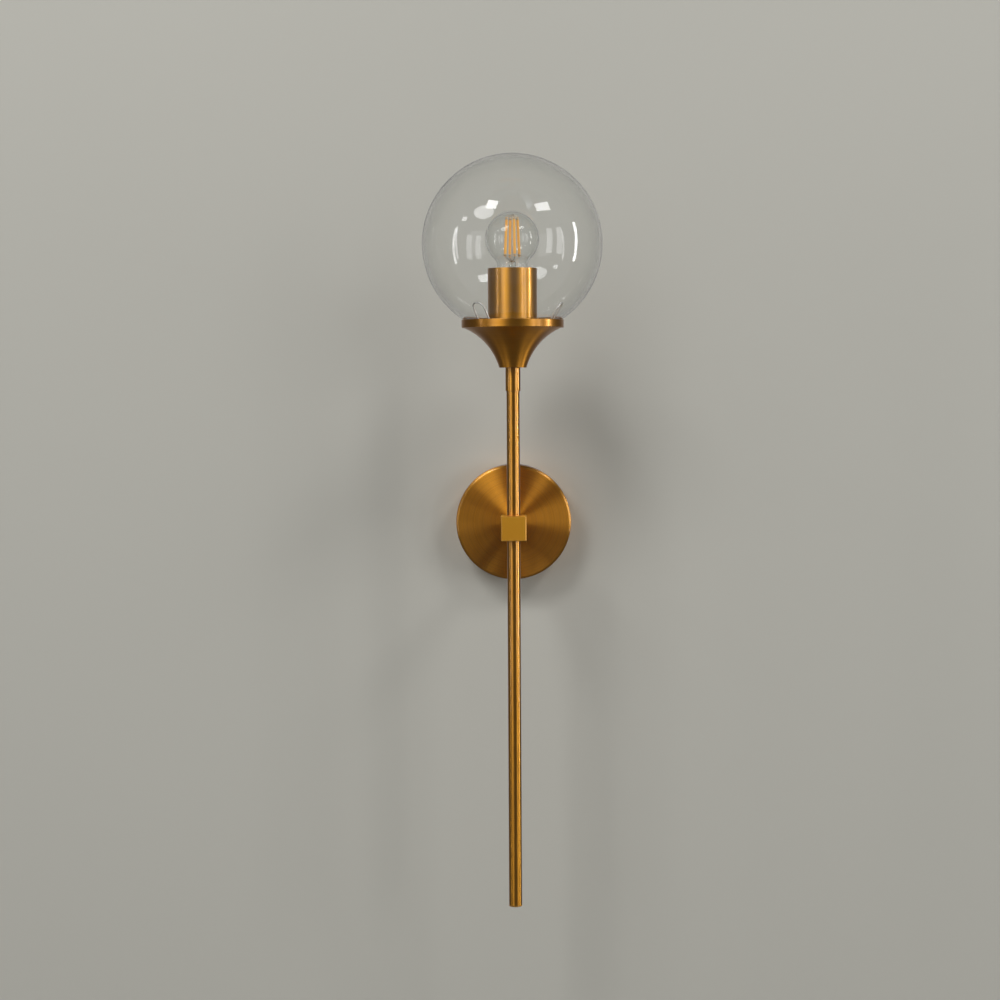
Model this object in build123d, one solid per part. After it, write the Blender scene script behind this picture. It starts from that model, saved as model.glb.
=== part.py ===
"""Globe wall sconce: brass back plate, arm, cube and column, trumpet cup, clear globe and lamp.

Millimetres. The wall is the plane Y = 0 and the light stands out of it towards -Y. +Z is up and +X is to the
right for someone who faces the wall. The origin is the middle of the wall bracket's back face.
"""

from build123d import *
from math import cos, pi, radians, sin, sqrt, tan
import os

# ---------------------------------------------------------------- column: cube, tubes, ferrule
ARM_REACH = 100.0            # wall to the column's axis
TUBE_OD = 11.0
TUBE_BORE = 8.0
THREAD_OD = 10.0             # fine thread that joins tubes, cube, ferrule and nipple
NIPPLE_BORE = 7.6
THREAD_GAP = 0.05            # radial gap of a screwed or close joint
PASS_GAP = 0.15              # radial gap of a hole that a thread passes through
CUBE_SIDE = 21.0
CUBE_CHAMFER = 0.6
CUBE_THREAD = 5.0            # length of tube that is screwed into the cube
UPPER_TUBE_LENGTH = 103.6    # visible, cube to ferrule
LOWER_TUBE_LENGTH = 306.3    # visible, cube to end plug
END_PLUG_THICKNESS = 1.2
END_PLUG_SPIGOT = 6.0
END_PLUG_ROUND = 0.6
FERRULE_OD = 12.5
FERRULE_LENGTH = 19.6
FERRULE_CHAMFER = 0.3
FERRULE_THREAD = 7.0         # length of upper tube that is screwed into the ferrule
NIPPLE_TO_TUBE = 0.9         # gap between tube end and nipple end inside the ferrule

# ---------------------------------------------------------------- trumpet cup and globe
CUP_FOOT_R = 11.4
CUP_FLARE_R = 40.6           # where the flare meets the rim band
CUP_RIM_R = 42.5
CUP_HEIGHT = 39.8
RIM_BAND = 6.7               # height of the upright rim
FLARE_SAGITTA = 5.0          # depth of the concave side
CUP_WALL = 1.6
CUP_FLOOR = 4.0
RIM_WALL = 1.5
RIM_LAND = 0.3               # flat top of the rim
RIM_ROUND = 0.5
RIM_CHAMFER = 0.7            # inside edge, turned to clear the globe
SHOULDER_WIDTH = 1.8         # ledge inside the rim that carries the gallery plate
GLOBE_R = 75.0
GLOBE_WALL = 2.5
GLOBE_EDGE_R = 39.0          # outer radius of the ground edge at the globe's opening
RIM_TO_GLOBE = 0.3
SEAT_RING_THICKNESS = 1.5
SEAT_RING_INSET = 0.1        # the ring's bore stays this far outside the opening's edge
RING_GAP = 0.4               # seat ring to rim
GALLERY_THICKNESS = 1.2
GALLERY_GAP = 0.3            # gallery plate to rim

# ---------------------------------------------------------------- globe springs
SPRING_COUNT = 3
SPRING_AZIMUTH = -14.0       # degrees from +X, seen from above
SPRING_WIRE = 1.2
SPRING_SPAN = 12.5           # between the two legs
SPRING_FOOT_R = 22.5         # inner end of the feet
SPRING_TO_GLASS = 0.3        # leg to the opening's edge
SPRING_LEAN = 32.0           # degrees out from upright
SPRING_RISE = 16.0           # height of the crown over the feet
SPRING_BEND = 2.0
SPRING_CROWN = 5.5
CLAMP_R = 26.0               # clamp and screw from the axis
CLAMP_WIDTH = 5.0
CLAMP_OVERHANG = 1.4         # clamp past each wire
CLAMP_THICKNESS = 0.8
CLAMP_SCREW_D = 3.0
CLAMP_HEAD_D = 5.5
CLAMP_HEAD_HEIGHT = 1.6
CLAMP_SCREW_TAIL = 2.0       # screw below the gallery plate

# ---------------------------------------------------------------- sleeve and lampholder
SLEEVE_OD = 41.0
SLEEVE_WALL = 1.0
SLEEVE_HEIGHT = 45.4
HOLDER_OD = 34.0
HOLDER_FLOOR = 4.0
HOLDER_CHAMBER_R = 12.5
HOLDER_CHAMBER_HEIGHT = 7.5
HOLDER_CHAMFER = 1.5
BLOCK_STEP = 1.0             # how deep the ceramic block sits in the holder's cap
CERAMIC_R = 14.5
CERAMIC_THICKNESS = 4.0
CERAMIC_GAP = 0.1
HOLDER_HEIGHT = 33.4
SHELL_WALL = 0.4
SHELL_HEIGHT = 16.9
SHELL_FLOOR_BORE_R = 6.5
SHELL_TO_SKIRT = 0.2
SHELL_NOTCH_WIDTH = 7.0      # gap in the shell's floor that the centre contact passes through
CONTACT_WIDTH = 5.0
CONTACT_METAL = 0.4
CONTACT_HEIGHT = 1.2
CONTACT_FOLD = 4.0           # from the axis to the fold
CONTACT_END = 2.5            # from the axis to the upper leaf's end
CONTACT_FOOT = 0.5           # lower leaf past the middle of the rivet
POST_X = 8.6
POST_SIZE = (5.0, 6.0, 5.0)
POST_RIVET_D = 2.4
POST_BORE_D = 2.2
POST_SCREW_D = 2.5
POST_SCREW_LENGTH = 2.0
POST_HEAD_D = 4.0
POST_HEAD_HEIGHT = 1.1

# ---------------------------------------------------------------- lamp, E27 cap and 45 mm ball
LAMP_LENGTH = 74.6
LAMP_BALL_LOW = 29.6         # tip to the lowest point of the ball's sphere
LAMP_BALL_R = (LAMP_LENGTH - LAMP_BALL_LOW) / 2
LAMP_NECK_R = 12.75
LAMP_NECK_FILLET = 8.0
LAMP_GLASS_WALL = 0.8
LAMP_NECK_IN_CAP = 6.5
LAMP_THREAD_R = 13.2
THREAD_PLAY = 0.1            # lamp cap to screw shell, radial
CONTACT_PLAY = 0.3           # lamp tip over the centre contact
CAP_METAL = 0.35
CAP_HEIGHT = 26.0            # tip to the top of the collar
CAP_COLLAR = 4.0
CAP_COLLAR_R = 13.55
CAP_EDGE = 3.4               # tip to the lower edge of the metal cap
TIP_R = 4.6
TIP_HEIGHT = 1.2
TIP_GAP = 0.6                # glass ring's lower end past the tip
TIP_SHANK_R = 1.5
GLASS_RING_TOP = 4.7         # tip to the top of the black glass ring
STEM_FLARE_R = 11.75
STEM_R = 3.0
STEM_TOP = 33.4              # tip to the top of the glass stem
FILAMENT_COUNT = 4
FILAMENT_AZIMUTH = 19.5
FILAMENT_D = 2.3
FILAMENT_LOW = 37.5          # tip to the filaments' lower ends
FILAMENT_TO_CROWN = 5.1      # upper ends to the crown of the ball
FILAMENT_LENGTH = LAMP_LENGTH - FILAMENT_LOW - FILAMENT_TO_CROWN
FILAMENT_LOW_R = 6.3
FILAMENT_TOP_R = 4.8
SUPPORT_D = 0.7              # post, bridges and leads
SUPPORT_BEND = 0.8
SUPPORT_GAP = 0.05
ARM_RISE = 1.5               # bridges over the filaments' tops
LEAD_ROOT_R = 1.5            # leads where they leave the stem
BOARD_SIZE = (15.0, 1.6, 12.0)
CAPACITOR_D = 7.0
CAPACITOR_HEIGHT = 9.0

# ---------------------------------------------------------------- back plate and what it hides
PLATE_R = 50.0
PLATE_DEPTH = 22.0
PLATE_WALL = 1.5
PLATE_ROUND = 2.5
PLATE_SCREW_HEIGHT = 9.0     # side screws from the wall
ARM_THREAD = 8.0             # arm behind the plate's front face
WASHER_R = 9.0
WASHER_THICKNESS = 1.2
NUT_ACROSS_FLATS = 14.0
NUT_HEIGHT = 4.0
BRACKET_METAL = 1.5
BRACKET_WIDTH = 20.0
BRACKET_SPAN = 93.0          # over the two ears
EAR_HEIGHT = 13.0
EAR_ROUND = 3.0
BRACKET_BEND = 0.8
CABLE_HOLE_R = 6.0
WALL_SLOT_SPACING = 60.0
WALL_SLOT_LENGTH = 12.0
WALL_SLOT_WIDTH = 4.5
TAB_WIDTH = 37.0
TAB_REACH = 38.0             # below the middle of the bracket
GRUB_D = 4.0
GRUB_LENGTH = 6.0
GRUB_SINK = 0.1              # below the plate's outside
GRUB_SOCKET_AF = 2.0
GRUB_SOCKET_DEPTH = 1.6
EARTH_X = -15.0
EARTH_SCREW_D = 4.0
EARTH_HEAD_R = 3.6
EARTH_HEAD_HEIGHT = 2.6
EARTH_SCREW_SHORT = 0.2      # the screw ends this far in front of the wall
LUG_R = 3.8
LUG_METAL = 0.8
LUG_BARREL_R = 1.7
LUG_BARREL_START = 4.2
LUG_BARREL_END = 9.5
LUG_NECK = 3.0
POLE_COUNT = 3
POLE_PITCH = 9.5
POLE_WIDTH = 6.8
TERMINAL_TOP = -20.0         # upper face of the terminal block, from the bracket's middle
TERMINAL_LENGTH = 16.0
TERMINAL_HEIGHT = 11.0
TERMINAL_BASE = 3.0
TERMINAL_BASE_WIDTH = 36.0
TERMINAL_AXIS = 7.5          # wire axis from the wall
BARREL_R = 2.2
BARREL_BORE_R = 1.45
BARREL_LENGTH = 12.0
CLAMP_SCREWS_APART = 7.0
TERMINAL_SCREW_D = 2.6
BLOCK_SCREW_X = 15.4
BLOCK_SCREW_D = 3.0
BLOCK_HEAD_R = 2.3
BLOCK_HEAD_HEIGHT = 1.8

# ---------------------------------------------------------------- inner leads
LEAD_OD = 2.0
LEAD_PAIR = 1.2              # each lead's axis from the middle of the tube
LEAD_IN_BARREL = 5.0
LEAD_OVER_NIPPLE = 4.5       # where the leads turn aside in the lampholder
LEAD_TURN = 3.2
LEAD_ELBOW = 9.0             # bend inside the cube
LEAD_DROP_RADIUS = 5.0       # bends behind the back plate

COLUMN = Pos(0, -ARM_REACH, 0)
FROM_WALL = Rot(X=90)        # local Z runs out of the wall, local Y is up


def turned(*stops):
    """A turned solid about Z. A stop is a (radius, height) point, and a list of two is an arc: a point on it
    and its end."""
    edges = []
    here = stops[0]
    for stop in stops[1:] + (stops[0],):
        if isinstance(stop, list):
            middle, end = stop
            edges.append(ThreePointArc((here[0], 0, here[1]), (middle[0], 0, middle[1]), (end[0], 0, end[1])))
            here = end
        elif stop != here:
            edges.append(Line((here[0], 0, here[1]), (stop[0], 0, stop[1])))
            here = stop
    return revolve(make_face(edges), Axis.Z)


def ring(outer, inner, low, high):
    """A plain round ring or tube about Z."""
    return Pos(0, 0, low) * extrude(Circle(outer) - Circle(inner), high - low)


def rod(radius, low, high):
    """A plain round rod about Z."""
    return Pos(0, 0, low) * extrude(Circle(radius), high - low)


def block(size, low):
    """A box centred on Z that stands on the height low."""
    return Pos(0, 0, low) * Box(*size, align=(Align.CENTER, Align.CENTER, Align.MIN))


def hexagon_nut(low, bore):
    """A low hexagon nut about Z with lightly turned corners."""
    corner = NUT_ACROSS_FLATS / sqrt(3)
    nut = Pos(0, 0, low) * extrude(RegularPolygon(corner, 6) - Circle(bore), NUT_HEIGHT)
    cut = (corner - NUT_ACROSS_FLATS / 2) * tan(radians(30))
    barrel = turned(
        (0, low), (NUT_ACROSS_FLATS / 2, low), (corner, low + cut),
        (corner, low + NUT_HEIGHT - cut), (NUT_ACROSS_FLATS / 2, low + NUT_HEIGHT), (0, low + NUT_HEIGHT),
    )
    return nut & barrel


def bent_wire(diameter, points, radii):
    """A round wire along straight runs joined by tangent arcs."""
    path = FilletPolyline(*points, radius=radii)
    wire = sweep(Plane(origin=path @ 0, z_dir=path % 0) * Circle(diameter / 2), path=path)
    expected = pi * diameter ** 2 / 4 * path.length
    print(f"wire: length {path.length:.1f}, radii {radii}, volume share {wire.volume / expected:.4f}")
    return wire


def straight_wire(diameter, start, end):
    """A round rod from one point to another."""
    run = Vector(*end) - Vector(*start)
    return extrude(Plane(origin=start, z_dir=run) * Circle(diameter / 2), run.length)


def around(count, start, piece):
    """Equal copies of a piece round the Z axis."""
    return [place * piece for place in PolarLocations(0, count, start)]


def pan_head_screw(diameter, low, face, head_r, height):
    """A screw about Z: a shank from low up to the face, and a head with a bevelled edge on it."""
    screw_r = diameter / 2
    bevel = height / 2
    return turned(
        (0, low), (screw_r, low), (screw_r, face), (head_r, face), (head_r, face + height - bevel),
        (head_r - bevel, face + height), (0, face + height),
    )


def together(solids):
    """Several solids as one node."""
    return Compound([solid for item in solids for solid in item.solids()])


# ---------------------------------------------------------------- heights up the column
cube_half = CUBE_SIDE / 2
tube_r = TUBE_OD / 2
bore_r = TUBE_BORE / 2
thread_r = THREAD_OD / 2
tapped_r = thread_r + THREAD_GAP
pass_r = thread_r + PASS_GAP

ferrule_low = cube_half + UPPER_TUBE_LENGTH
cup_low = ferrule_low + FERRULE_LENGTH
rim_top = cup_low + CUP_HEIGHT
rim_low = rim_top - RIM_BAND
rim_corner_r = CUP_RIM_R - RIM_ROUND - RIM_LAND
rim_bore_r = CUP_RIM_R - RIM_WALL
globe_z = rim_top + sqrt((GLOBE_R + RIM_TO_GLOBE) ** 2 - rim_corner_r ** 2)
opening_z = globe_z - sqrt(GLOBE_R ** 2 - GLOBE_EDGE_R ** 2)
globe_bore = GLOBE_R - GLOBE_WALL
opening_r = sqrt(globe_bore ** 2 - (globe_z - opening_z) ** 2)
gallery_top = opening_z - SEAT_RING_THICKNESS
gallery_low = gallery_top - GALLERY_THICKNESS
holder_low = gallery_top + SLEEVE_WALL
chamber_low = holder_low + HOLDER_FLOOR
ceramic_low = chamber_low + HOLDER_CHAMBER_HEIGHT
ceramic_top = ceramic_low + CERAMIC_THICKNESS
skirt_low = ceramic_low + BLOCK_STEP
skirt_top = holder_low + HOLDER_HEIGHT
tip_z = ceramic_top + CONTACT_HEIGHT + CONTACT_PLAY
ball_z = tip_z + LAMP_LENGTH - LAMP_BALL_R
shell_bore_r = LAMP_THREAD_R + THREAD_PLAY
shell_r = shell_bore_r + SHELL_WALL
sleeve_r = SLEEVE_OD / 2


# ---------------------------------------------------------------- column
def centre_block():
    """Chamfered cube, tapped above, below and behind, with a wire way between the three threads."""
    cube = chamfer(Box(CUBE_SIDE, CUBE_SIDE, CUBE_SIDE).edges(), CUBE_CHAMFER)
    thread_end = cube_half - CUBE_THREAD - THREAD_GAP
    tapped = rod(tapped_r, thread_end, CUBE_SIDE)
    cube -= rod(bore_r, -CUBE_SIDE, CUBE_SIDE)
    cube -= tapped
    cube -= Rot(X=180) * tapped
    cube -= Rot(X=-90) * tapped
    cube -= Rot(X=-90) * rod(bore_r, 0, CUBE_SIDE)
    return COLUMN * cube


def threaded_tube(low, high, thread_low, thread_high):
    """A tube with a screwed end of smaller diameter at one or both ends."""
    tube = turned(
        (thread_r, low - thread_low), (thread_r, low), (tube_r, low), (tube_r, high),
        (thread_r, high), (thread_r, high + thread_high), (bore_r, high + thread_high), (bore_r, low - thread_low),
    )
    return tube


def upper_tube():
    return COLUMN * threaded_tube(cube_half, ferrule_low, CUBE_THREAD, FERRULE_THREAD)


def lower_tube():
    """Screwed into the cube at its upper end, and cut square for the plug at its lower end."""
    low = -cube_half - LOWER_TUBE_LENGTH
    return COLUMN * turned(
        (tube_r, low), (tube_r, -cube_half), (thread_r, -cube_half), (thread_r, -cube_half + CUBE_THREAD),
        (bore_r, -cube_half + CUBE_THREAD), (bore_r, low),
    )


def tube_end_plug():
    """A rounded cap on a spigot that closes the lower tube."""
    top = -cube_half - LOWER_TUBE_LENGTH
    low = top - END_PLUG_THICKNESS
    turn = END_PLUG_ROUND * (1 - sqrt(0.5))
    spigot_r = bore_r - THREAD_GAP
    return COLUMN * turned(
        (0, low), (tube_r - END_PLUG_ROUND, low),
        [(tube_r - turn, low + turn), (tube_r, low + END_PLUG_ROUND)],
        (tube_r, top), (spigot_r, top), (spigot_r, top + END_PLUG_SPIGOT), (0, top + END_PLUG_SPIGOT),
    )


def ferrule():
    """Coupling that joins the upper tube to the nipple."""
    outer = FERRULE_OD / 2
    return COLUMN * turned(
        (tapped_r, ferrule_low), (outer - FERRULE_CHAMFER, ferrule_low), (outer, ferrule_low + FERRULE_CHAMFER),
        (outer, cup_low - FERRULE_CHAMFER), (outer - FERRULE_CHAMFER, cup_low), (tapped_r, cup_low),
    )


def holder_nipple():
    """Hollow threaded rod from the ferrule up into the lampholder."""
    low = ferrule_low + FERRULE_THREAD + NIPPLE_TO_TUBE
    return COLUMN * ring(thread_r, NIPPLE_BORE / 2, low, chamber_low)


# ---------------------------------------------------------------- cup, gallery and globe
def arc_point(centre, radius, height):
    """The point of a circle, nearer to the axis, at a height."""
    return (centre[0] - sqrt(radius ** 2 - (height - centre[1]) ** 2), height)


def trumpet_cup():
    """Turned cup: concave flare, upright rim with a shoulder inside, flat floor with a hole."""
    start = Vector(CUP_FOOT_R, cup_low)
    end = Vector(CUP_FLARE_R, rim_low)
    chord = end - start
    flare_r = (chord.length ** 2 / 4 + FLARE_SAGITTA ** 2) / (2 * FLARE_SAGITTA)
    outward = Vector(chord.Y, -chord.X).normalized()
    middle = (start + end) / 2
    centre = middle + outward * (flare_r - FLARE_SAGITTA)
    centre = (centre.X, centre.Y)
    flare_middle = arc_point(centre, flare_r, middle.Y)
    shoulder_r = rim_bore_r - SHOULDER_WIDTH
    inner_r = flare_r + CUP_WALL
    floor_z = cup_low + CUP_FLOOR
    cavity_low = arc_point(centre, inner_r, floor_z)
    cavity_top = (shoulder_r, centre[1] + sqrt(inner_r ** 2 - (centre[0] - shoulder_r) ** 2))
    cavity_middle = arc_point(centre, inner_r, (cavity_low[1] + cavity_top[1]) / 2)
    round_in = RIM_ROUND * (1 - sqrt(0.5))
    top_wall = max(cavity_top[1], rim_low)
    return COLUMN * turned(
        (pass_r, cup_low), (CUP_FOOT_R, cup_low),
        [flare_middle, (CUP_FLARE_R, rim_low)],
        (CUP_RIM_R - RIM_ROUND, rim_low),
        [(CUP_RIM_R - round_in, rim_low + round_in), (CUP_RIM_R, rim_low + RIM_ROUND)],
        (CUP_RIM_R, rim_top - RIM_ROUND),
        [(CUP_RIM_R - round_in, rim_top - round_in), (CUP_RIM_R - RIM_ROUND, rim_top)],
        (rim_corner_r, rim_top), (rim_bore_r, rim_top - RIM_CHAMFER), (rim_bore_r, gallery_low),
        (shoulder_r, gallery_low), (shoulder_r, top_wall), cavity_top,
        [cavity_middle, cavity_low], (pass_r, floor_z),
    )


def cup_lock_nut():
    return COLUMN * hexagon_nut(cup_low + CUP_FLOOR, tapped_r)


def gallery_plate():
    """Round plate on the cup's shoulder with a middle hole and three tapped holes."""
    plate = ring(rim_bore_r - GALLERY_GAP, pass_r, gallery_low, gallery_top)
    hole = Pos(CLAMP_R, 0, 0) * rod(CLAMP_SCREW_D / 2 + THREAD_GAP, gallery_low, gallery_top)
    for cut in around(SPRING_COUNT, SPRING_AZIMUTH, hole):
        plate -= cut
    return COLUMN * plate


def seat_ring():
    return COLUMN * ring(rim_bore_r - RING_GAP, opening_r + SEAT_RING_INSET, gallery_top, opening_z)


def globe_springs():
    """Three hairpin wires: two feet on the gallery plate, two legs that lean out, and a rounded crown."""
    side = SPRING_SPAN / 2
    foot_z = gallery_top + SPRING_WIRE / 2
    crown_z = foot_z + SPRING_RISE
    lean = radians(SPRING_LEAN)
    leg_r = opening_r - SPRING_TO_GLASS - SPRING_WIRE / 2 / cos(lean)
    bend_r = sqrt(leg_r ** 2 - side ** 2) - (opening_z - foot_z) * tan(lean)
    crown_r = bend_r + SPRING_RISE * tan(lean)
    points = [
        (SPRING_FOOT_R, side, foot_z), (bend_r, side, foot_z), (crown_r, side, crown_z),
        (crown_r, -side, crown_z), (bend_r, -side, foot_z), (SPRING_FOOT_R, -side, foot_z),
    ]
    spring = bent_wire(SPRING_WIRE, points, [SPRING_BEND, SPRING_CROWN, SPRING_CROWN, SPRING_BEND])
    return COLUMN * together(around(SPRING_COUNT, SPRING_AZIMUTH, spring))


def spring_clamps():
    """Flat straps that press the springs' feet on the gallery plate."""
    strap = Rectangle(CLAMP_WIDTH, SPRING_SPAN + SPRING_WIRE + 2 * CLAMP_OVERHANG)
    strap = fillet(strap.vertices(), CLAMP_OVERHANG) - Circle(CLAMP_SCREW_D / 2 + THREAD_GAP)
    clamp = Pos(CLAMP_R, 0, gallery_top + SPRING_WIRE) * extrude(strap, CLAMP_THICKNESS)
    return COLUMN * together(around(SPRING_COUNT, SPRING_AZIMUTH, clamp))


def spring_screws():
    """Pan head screws through the clamps into the gallery plate."""
    face = gallery_top + SPRING_WIRE + CLAMP_THICKNESS
    screw = pan_head_screw(
        CLAMP_SCREW_D, gallery_low - CLAMP_SCREW_TAIL, face, CLAMP_HEAD_D / 2, CLAMP_HEAD_HEIGHT
    )
    return COLUMN * together(around(SPRING_COUNT, SPRING_AZIMUTH, Pos(CLAMP_R, 0, 0) * screw))


def glass_globe():
    """Clear globe with a flat ground edge round the opening at its bottom."""
    middle_high = (GLOBE_R, globe_z)
    middle_low = (globe_bore, globe_z)
    return COLUMN * turned(
        (GLOBE_EDGE_R, opening_z), [middle_high, (0, globe_z + GLOBE_R)],
        (0, globe_z + globe_bore), [middle_low, (opening_r, opening_z)],
    )


# ---------------------------------------------------------------- sleeve and lampholder
def socket_sleeve():
    """Brass sleeve, open above, with a floor that the lampholder clamps down."""
    top = gallery_top + SLEEVE_HEIGHT
    sleeve = ring(sleeve_r, pass_r, gallery_top, top)
    sleeve -= rod(sleeve_r - SLEEVE_WALL, holder_low, top)
    return COLUMN * sleeve


def holder_cap():
    """Lower shell of the lampholder: threaded floor, wiring chamber and a step for the ceramic block."""
    outer = HOLDER_OD / 2
    return COLUMN * turned(
        (tapped_r, holder_low), (outer - HOLDER_CHAMFER, holder_low), (outer, holder_low + HOLDER_CHAMFER),
        (outer, skirt_low), (CERAMIC_R + CERAMIC_GAP, skirt_low), (CERAMIC_R + CERAMIC_GAP, ceramic_low),
        (HOLDER_CHAMBER_R, ceramic_low), (HOLDER_CHAMBER_R, chamber_low), (tapped_r, chamber_low),
    )


def holder_skirt():
    """Upper shell of the lampholder, round the screw shell."""
    outer = HOLDER_OD / 2
    bore = shell_r + SHELL_TO_SKIRT
    return COLUMN * turned(
        (CERAMIC_R + CERAMIC_GAP, skirt_low), (outer, skirt_low), (outer, skirt_top - HOLDER_CHAMFER),
        (outer - HOLDER_CHAMFER, skirt_top), (bore, skirt_top), (bore, ceramic_top),
        (CERAMIC_R + CERAMIC_GAP, ceramic_top),
    )


def contact_block():
    """Ceramic disc between the two shells, with two rivet holes."""
    disc = rod(CERAMIC_R, ceramic_low, ceramic_top)
    for x in (-POST_X, POST_X):
        disc -= Pos(x, 0, 0) * rod(POST_RIVET_D / 2 + THREAD_GAP, ceramic_low, ceramic_top)
    return COLUMN * disc


def screw_shell():
    """Metal shell that takes the lamp's thread, its floor cut away where the centre contact passes."""
    shell = ring(shell_r, SHELL_FLOOR_BORE_R, ceramic_top, ceramic_top + SHELL_HEIGHT)
    shell -= rod(shell_bore_r, ceramic_top + SHELL_WALL, ceramic_top + SHELL_HEIGHT)
    notch = Box(shell_bore_r, SHELL_NOTCH_WIDTH, SHELL_WALL, align=(Align.MIN, Align.CENTER, Align.MIN))
    shell -= Pos(0, 0, ceramic_top) * notch
    return COLUMN * shell


def centre_contact():
    """Folded leaf spring from the live rivet to the middle of the lampholder."""
    foot = POST_X + CONTACT_FOOT
    low = ceramic_top
    top = ceramic_top + CONTACT_HEIGHT
    fold = [
        (foot, low), (-CONTACT_FOLD, low), (-CONTACT_FOLD, top), (CONTACT_END, top),
        (CONTACT_END, top - CONTACT_METAL), (-CONTACT_FOLD + CONTACT_METAL, top - CONTACT_METAL),
        (-CONTACT_FOLD + CONTACT_METAL, low + CONTACT_METAL), (foot, low + CONTACT_METAL),
    ]
    outline = make_face(Polyline(*[(x, 0, z) for x, z in fold], close=True))
    return COLUMN * extrude(outline, CONTACT_WIDTH / 2, both=True)


def post_heights():
    """The terminal posts' lower face and the axis of their wire bores."""
    low = ceramic_low - POST_SIZE[2]
    return low, chamber_low + LEAD_OVER_NIPPLE


def terminal_posts():
    """Two brass posts under the ceramic block, each with a wire bore, a screw bore and a rivet."""
    low, bore_z = post_heights()
    post = block(POST_SIZE, low) + rod(POST_RIVET_D / 2, ceramic_low, ceramic_top)
    post -= Pos(0, 0, bore_z) * Rot(Y=90) * rod(POST_BORE_D / 2, -POST_SIZE[0], POST_SIZE[0])
    post -= Pos(0, 0, bore_z) * Rot(X=90) * rod(POST_SCREW_D / 2 + THREAD_GAP, 0, POST_SIZE[1])
    return COLUMN * together([Pos(-POST_X, 0, 0) * post, Pos(POST_X, 0, 0) * post])


def post_screws():
    """Cheese head screws that clamp the leads in the posts."""
    bore_z = post_heights()[1]
    face = POST_SIZE[1] / 2
    screw = rod(POST_SCREW_D / 2, face - POST_SCREW_LENGTH + THREAD_GAP, face)
    screw += rod(POST_HEAD_D / 2, face, face + POST_HEAD_HEIGHT)
    screw = Rot(X=90) * screw
    return COLUMN * together([Pos(x, 0, bore_z) * screw for x in (-POST_X, POST_X)])


# ---------------------------------------------------------------- lamp
def lamp_tip():
    """Domed centre contact on a shank."""
    shank_top = tip_z + GLASS_RING_TOP
    return COLUMN * turned(
        (0, tip_z), [(TIP_R * 0.6, tip_z + TIP_HEIGHT * 0.28), (TIP_R, tip_z + TIP_HEIGHT)],
        (TIP_SHANK_R, tip_z + TIP_HEIGHT), (TIP_SHANK_R, shank_top), (0, shank_top),
    )


def lamp_insulator():
    """Black glass ring between the tip and the metal cap."""
    low = tip_z + TIP_HEIGHT
    top = tip_z + GLASS_RING_TOP
    edge = tip_z + CAP_EDGE
    inner = LAMP_THREAD_R - CAP_METAL - THREAD_GAP
    shank = TIP_SHANK_R + THREAD_GAP
    return COLUMN * turned(
        (shank, low), (TIP_R + TIP_GAP, low), (inner, edge),
        (inner, top), (shank, top),
    )


def lamp_cap():
    """Thin metal cap: threaded barrel and a wider collar round the neck. Its thread is left plain."""
    low = tip_z + CAP_EDGE
    collar_top = tip_z + CAP_HEIGHT
    collar_low = collar_top - CAP_COLLAR
    flare = CAP_COLLAR_R - LAMP_THREAD_R
    return COLUMN * turned(
        (LAMP_THREAD_R - CAP_METAL, low), (LAMP_THREAD_R, low), (LAMP_THREAD_R, collar_low - flare),
        (CAP_COLLAR_R, collar_low), (CAP_COLLAR_R, collar_top), (CAP_COLLAR_R - CAP_METAL, collar_top),
        (CAP_COLLAR_R - CAP_METAL, collar_low), (LAMP_THREAD_R - CAP_METAL, collar_low - flare),
    )


def ball_and_neck(ball_r, neck_r, fillet_r):
    """The concave arc between a ball and a neck: its ends on both and its middle."""
    span = neck_r + fillet_r
    drop = sqrt((ball_r + fillet_r) ** 2 - span ** 2)
    share = ball_r / (ball_r + fillet_r)
    centre = Vector(span, ball_z - drop)
    on_ball = Vector(span * share, ball_z - drop * share)
    on_neck = Vector(neck_r, ball_z - drop)
    towards = (on_ball - centre).normalized() + (on_neck - centre).normalized()
    middle = centre + towards.normalized() * fillet_r
    return [(point.X, point.Y) for point in (on_ball, middle, on_neck)]


def lamp_glass():
    """Clear envelope: a ball that runs into a short neck through a concave arc."""
    low = tip_z + CAP_HEIGHT - LAMP_NECK_IN_CAP
    inner_ball = LAMP_BALL_R - LAMP_GLASS_WALL
    inner_neck = LAMP_NECK_R - LAMP_GLASS_WALL
    inner_fillet = LAMP_NECK_FILLET + LAMP_GLASS_WALL
    on_ball, waist, on_neck = ball_and_neck(LAMP_BALL_R, LAMP_NECK_R, LAMP_NECK_FILLET)
    inner_on_ball, inner_waist, inner_on_neck = ball_and_neck(inner_ball, inner_neck, inner_fillet)
    return COLUMN * turned(
        (LAMP_NECK_R, low), on_neck, [waist, on_ball], [(LAMP_BALL_R, ball_z), (0, ball_z + LAMP_BALL_R)],
        (0, ball_z + inner_ball), [(inner_ball, ball_z), inner_on_ball], [inner_waist, inner_on_neck],
        (inner_neck, low),
    )


def filament_ends():
    """Lower and upper ends of the filaments, as (radius, height)."""
    low = (FILAMENT_LOW_R, tip_z + FILAMENT_LOW)
    top = (FILAMENT_TOP_R, tip_z + FILAMENT_LOW + FILAMENT_LENGTH)
    return low, top


def lamp_filaments():
    """Four straight filaments that lean in towards the top."""
    low, top = filament_ends()
    filament = straight_wire(FILAMENT_D, (low[0], 0, low[1]), (top[0], 0, top[1]))
    return COLUMN * together(around(FILAMENT_COUNT, FILAMENT_AZIMUTH, filament))


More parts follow.
